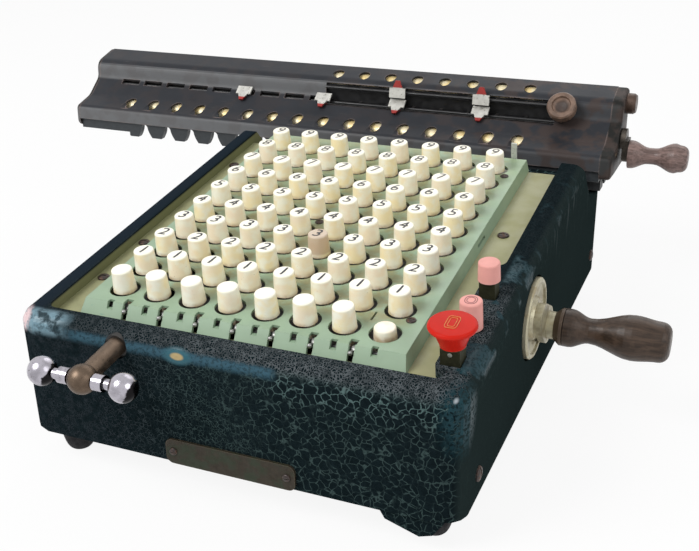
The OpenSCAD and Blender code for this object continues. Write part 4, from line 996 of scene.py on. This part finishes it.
class CALC_OT_carriage(bpy.types.Operator):
    """Finishes the carriage's cover, ends, rack, pointer rail and cap."""
    bl_idname = "calc.carriage"
    bl_label = "Carriage"

    def execute(self, context):
        s = settings("carriage")
        paint(carriage_enamel("carriage_paint", s.cover, s.worn), "carriage_cover")
        casting = carriage_enamel("carriage_casting", s.casting, s.worn, 0.42)
        paint(casting, "carriage_ends")
        keep(rounded_ends(casting, 2.2 * MM), "carriage")
        paint(blackened_metal("rack_steel", (0.032, 0.037, 0.041), (0.1, 0.1, 0.1), 0.45), "carriage_rack")
        paint(blackened_metal("black_paint", (0.013, 0.013, 0.014), (0.08, 0.07, 0.065), 0.4),
              "pointer_rail")
        paint(aged_metal("cap_brown", (0.07, 0.042, 0.03), (0.02, 0.015, 0.012), 3, 0.4, 0.5),
              "upper_shaft_cap")
        return {"FINISHED"}


class CALC_OT_dials(bpy.types.Operator):
    """Finishes the numeral wheels and the sliding pointers."""
    bl_idname = "calc.dials"
    bl_label = "Dials and pointers"

    def execute(self, context):
        s = settings("carriage")
        paint(dial_wheel(s), "lower_dials", "upper_dials")
        paint(pointer_finish("pointer_metal", s, "lower_pointers", True), "lower_pointers")
        paint(pointer_finish("pointer_metal_upper", s, "upper_pointers", False), "upper_pointers")
        return {"FINISHED"}


class CALC_OT_carriage_fittings(bpy.types.Operator):
    """Finishes the clearing crank, its grip and the carriage knob."""
    bl_idname = "calc.carriage_fittings"
    bl_label = "Carriage fittings"

    def execute(self, context):
        metal, s = settings("metal"), settings("carriage")
        low, high = corners("clear_grip")
        paint(aged_metal("dark_steel", (0.07, 0.06, 0.05), (0.02, 0.018, 0.015), 3, 0.4), "clear_crank")
        paint(turned_wood("red_wood", metal.mahogany, shade(metal.mahogany, 1.8), (low + high) / 2),
              "clear_grip")
        paint(mottled_knob(s), "carriage_knob")
        return {"FINISHED"}


class CALC_OT_stage(bpy.types.Operator):
    """Adds the floor, the lamps, the sky and the camera at the photograph's angle."""
    bl_idname = "calc.stage"
    bl_label = "Stage"

    def execute(self, context):
        s = settings("stage")
        scene = context.scene
        scene.view_settings.view_transform = "Standard"
        self.add_floor(s)
        self.add_sky(s)
        middle = Vector((0.03, 0, 0.05))
        self.add_lamp("main_lamp", (-0.75, -0.95, 1.25), middle, 0.9, s.key_power)
        self.add_lamp("fill_lamp", (1.15, -0.45, 0.8), middle, 1.0, s.fill_power)
        self.add_lamp("rear_lamp", (0.1, 1.1, 1.1), middle, 1.2, s.fill_power)
        self.add_camera(scene)
        return {"FINISHED"}

    def bright_paths(self, wiring):
        """1 for rays from the camera and for those that metal and glass send on."""
        path = wiring.node("ShaderNodeLightPath").outputs
        return wiring.math("MAXIMUM", path["Is Camera Ray"],
                           wiring.math("MAXIMUM", path["Is Glossy Ray"], path["Is Transmission Ray"]))

    def add_floor(self, s):
        size = 3.0
        mesh = bmesh.new()
        bmesh.ops.create_grid(mesh, x_segments=1, y_segments=1, size=size)
        f = Finish("pale_floor")
        tone = f.mix(f.noise(60, 3), shade(s.floor, 0.985), s.floor)
        shader = f.shader
        f.dress(tone, 0.8)
        white = f.node("ShaderNodeEmission", {"Color": (1, 1, 1), "Strength": 1.0})
        blend = f.node("ShaderNodeMixShader", {
            0: f.times(self.bright_paths(f), 0.9), 1: shader.outputs[0], 2: white.outputs[0]})
        f.put(f.tree.nodes["Material Output"].inputs["Surface"], blend.outputs[0])
        piece_from("floor", mesh, f.material)

    def add_sky(self, s):
        world = bpy.data.worlds.new("studio")
        bpy.context.scene.world = world
        world.use_nodes = True
        wiring = Wiring(world.node_tree)
        bright = self.bright_paths(wiring)
        strength = wiring.math("ADD", wiring.math("MULTIPLY", bright, 1 - s.sky), s.sky)
        back = world.node_tree.nodes["Background"]
        wiring.put(back.inputs["Color"], (1, 1, 1))
        wiring.put(back.inputs["Strength"], strength)

    def add_lamp(self, name, place, aim, size, power):
        lamp = bpy.data.lights.new(name, "AREA")
        lamp.shape = "DISK"
        lamp.size = size
        lamp.energy = power
        holder = bpy.data.objects.new(name, lamp)
        holder.location = place
        holder.rotation_euler = (aim - Vector(place)).to_track_quat("-Z", "Y").to_euler()
        bpy.context.scene.collection.objects.link(holder)

    def add_camera(self, scene):
        data = bpy.data.cameras.new("photo_camera")
        data.sensor_fit = "HORIZONTAL"
        data.sensor_width = SENSOR_WIDTH
        data.lens = FOCAL_PIXELS / PHOTO_WIDTH * SENSOR_WIDTH
        ca, sa = math.cos(CAMERA_AZIMUTH), math.sin(CAMERA_AZIMUTH)
        ce, se = math.cos(CAMERA_ELEVATION), math.sin(CAMERA_ELEVATION)
        right = Vector((ca, sa, 0))
        view = Vector((-sa * ce, ca * ce, -se))
        up = right.cross(view)
        cr, sr = math.cos(CAMERA_ROLL), math.sin(CAMERA_ROLL)
        right, up = cr * right + sr * up, -sr * right + cr * up
        turn = Matrix((right, up, -view)).transposed().to_4x4()
        camera = bpy.data.objects.new("photo_camera", data)
        camera.matrix_world = Matrix.Translation(CAMERA_PLACE) @ turn
        scene.collection.objects.link(camera)
        scene.camera = camera


OPERATORS = (CALC_OT_case, CALC_OT_keyboard, CALC_OT_keys, CALC_OT_function_keys, CALC_OT_insides,
             CALC_OT_crank, CALC_OT_shift_handle, CALC_OT_carriage, CALC_OT_dials,
             CALC_OT_carriage_fittings, CALC_OT_stage)


class CALC_PT_panel(bpy.types.Panel):
    """Lists the settings and the steps that finish the calculator."""
    bl_idname = "CALC_PT_panel"
    bl_label = "Desk calculator"
    bl_space_type = "VIEW_3D"
    bl_region_type = "UI"
    bl_category = "Calculator"

    def draw(self, context):
        for name, group in SETTINGS.items():
            box = self.layout.box()
            box.label(text=name.capitalize())
            for prop in group.__annotations__:
                box.prop(settings(name), prop)
        for operator in OPERATORS:
            self.layout.operator(operator.bl_idname)


def register():
    for item in (*SETTINGS.values(), *OPERATORS, CALC_PT_panel):
        bpy.utils.register_class(item)
    for name, group in SETTINGS.items():
        setattr(bpy.types.Scene, "calculator_" + name, PointerProperty(type=group))


def unregister():
    for name in SETTINGS:
        delattr(bpy.types.Scene, "calculator_" + name)
    for item in reversed((*SETTINGS.values(), *OPERATORS, CALC_PT_panel)):
        bpy.utils.unregister_class(item)


def main():
    register()
    for operator in OPERATORS:
        group, name = operator.bl_idname.split(".")
        getattr(getattr(bpy.ops, group), name)()


if __name__ == "__main__":
    main()
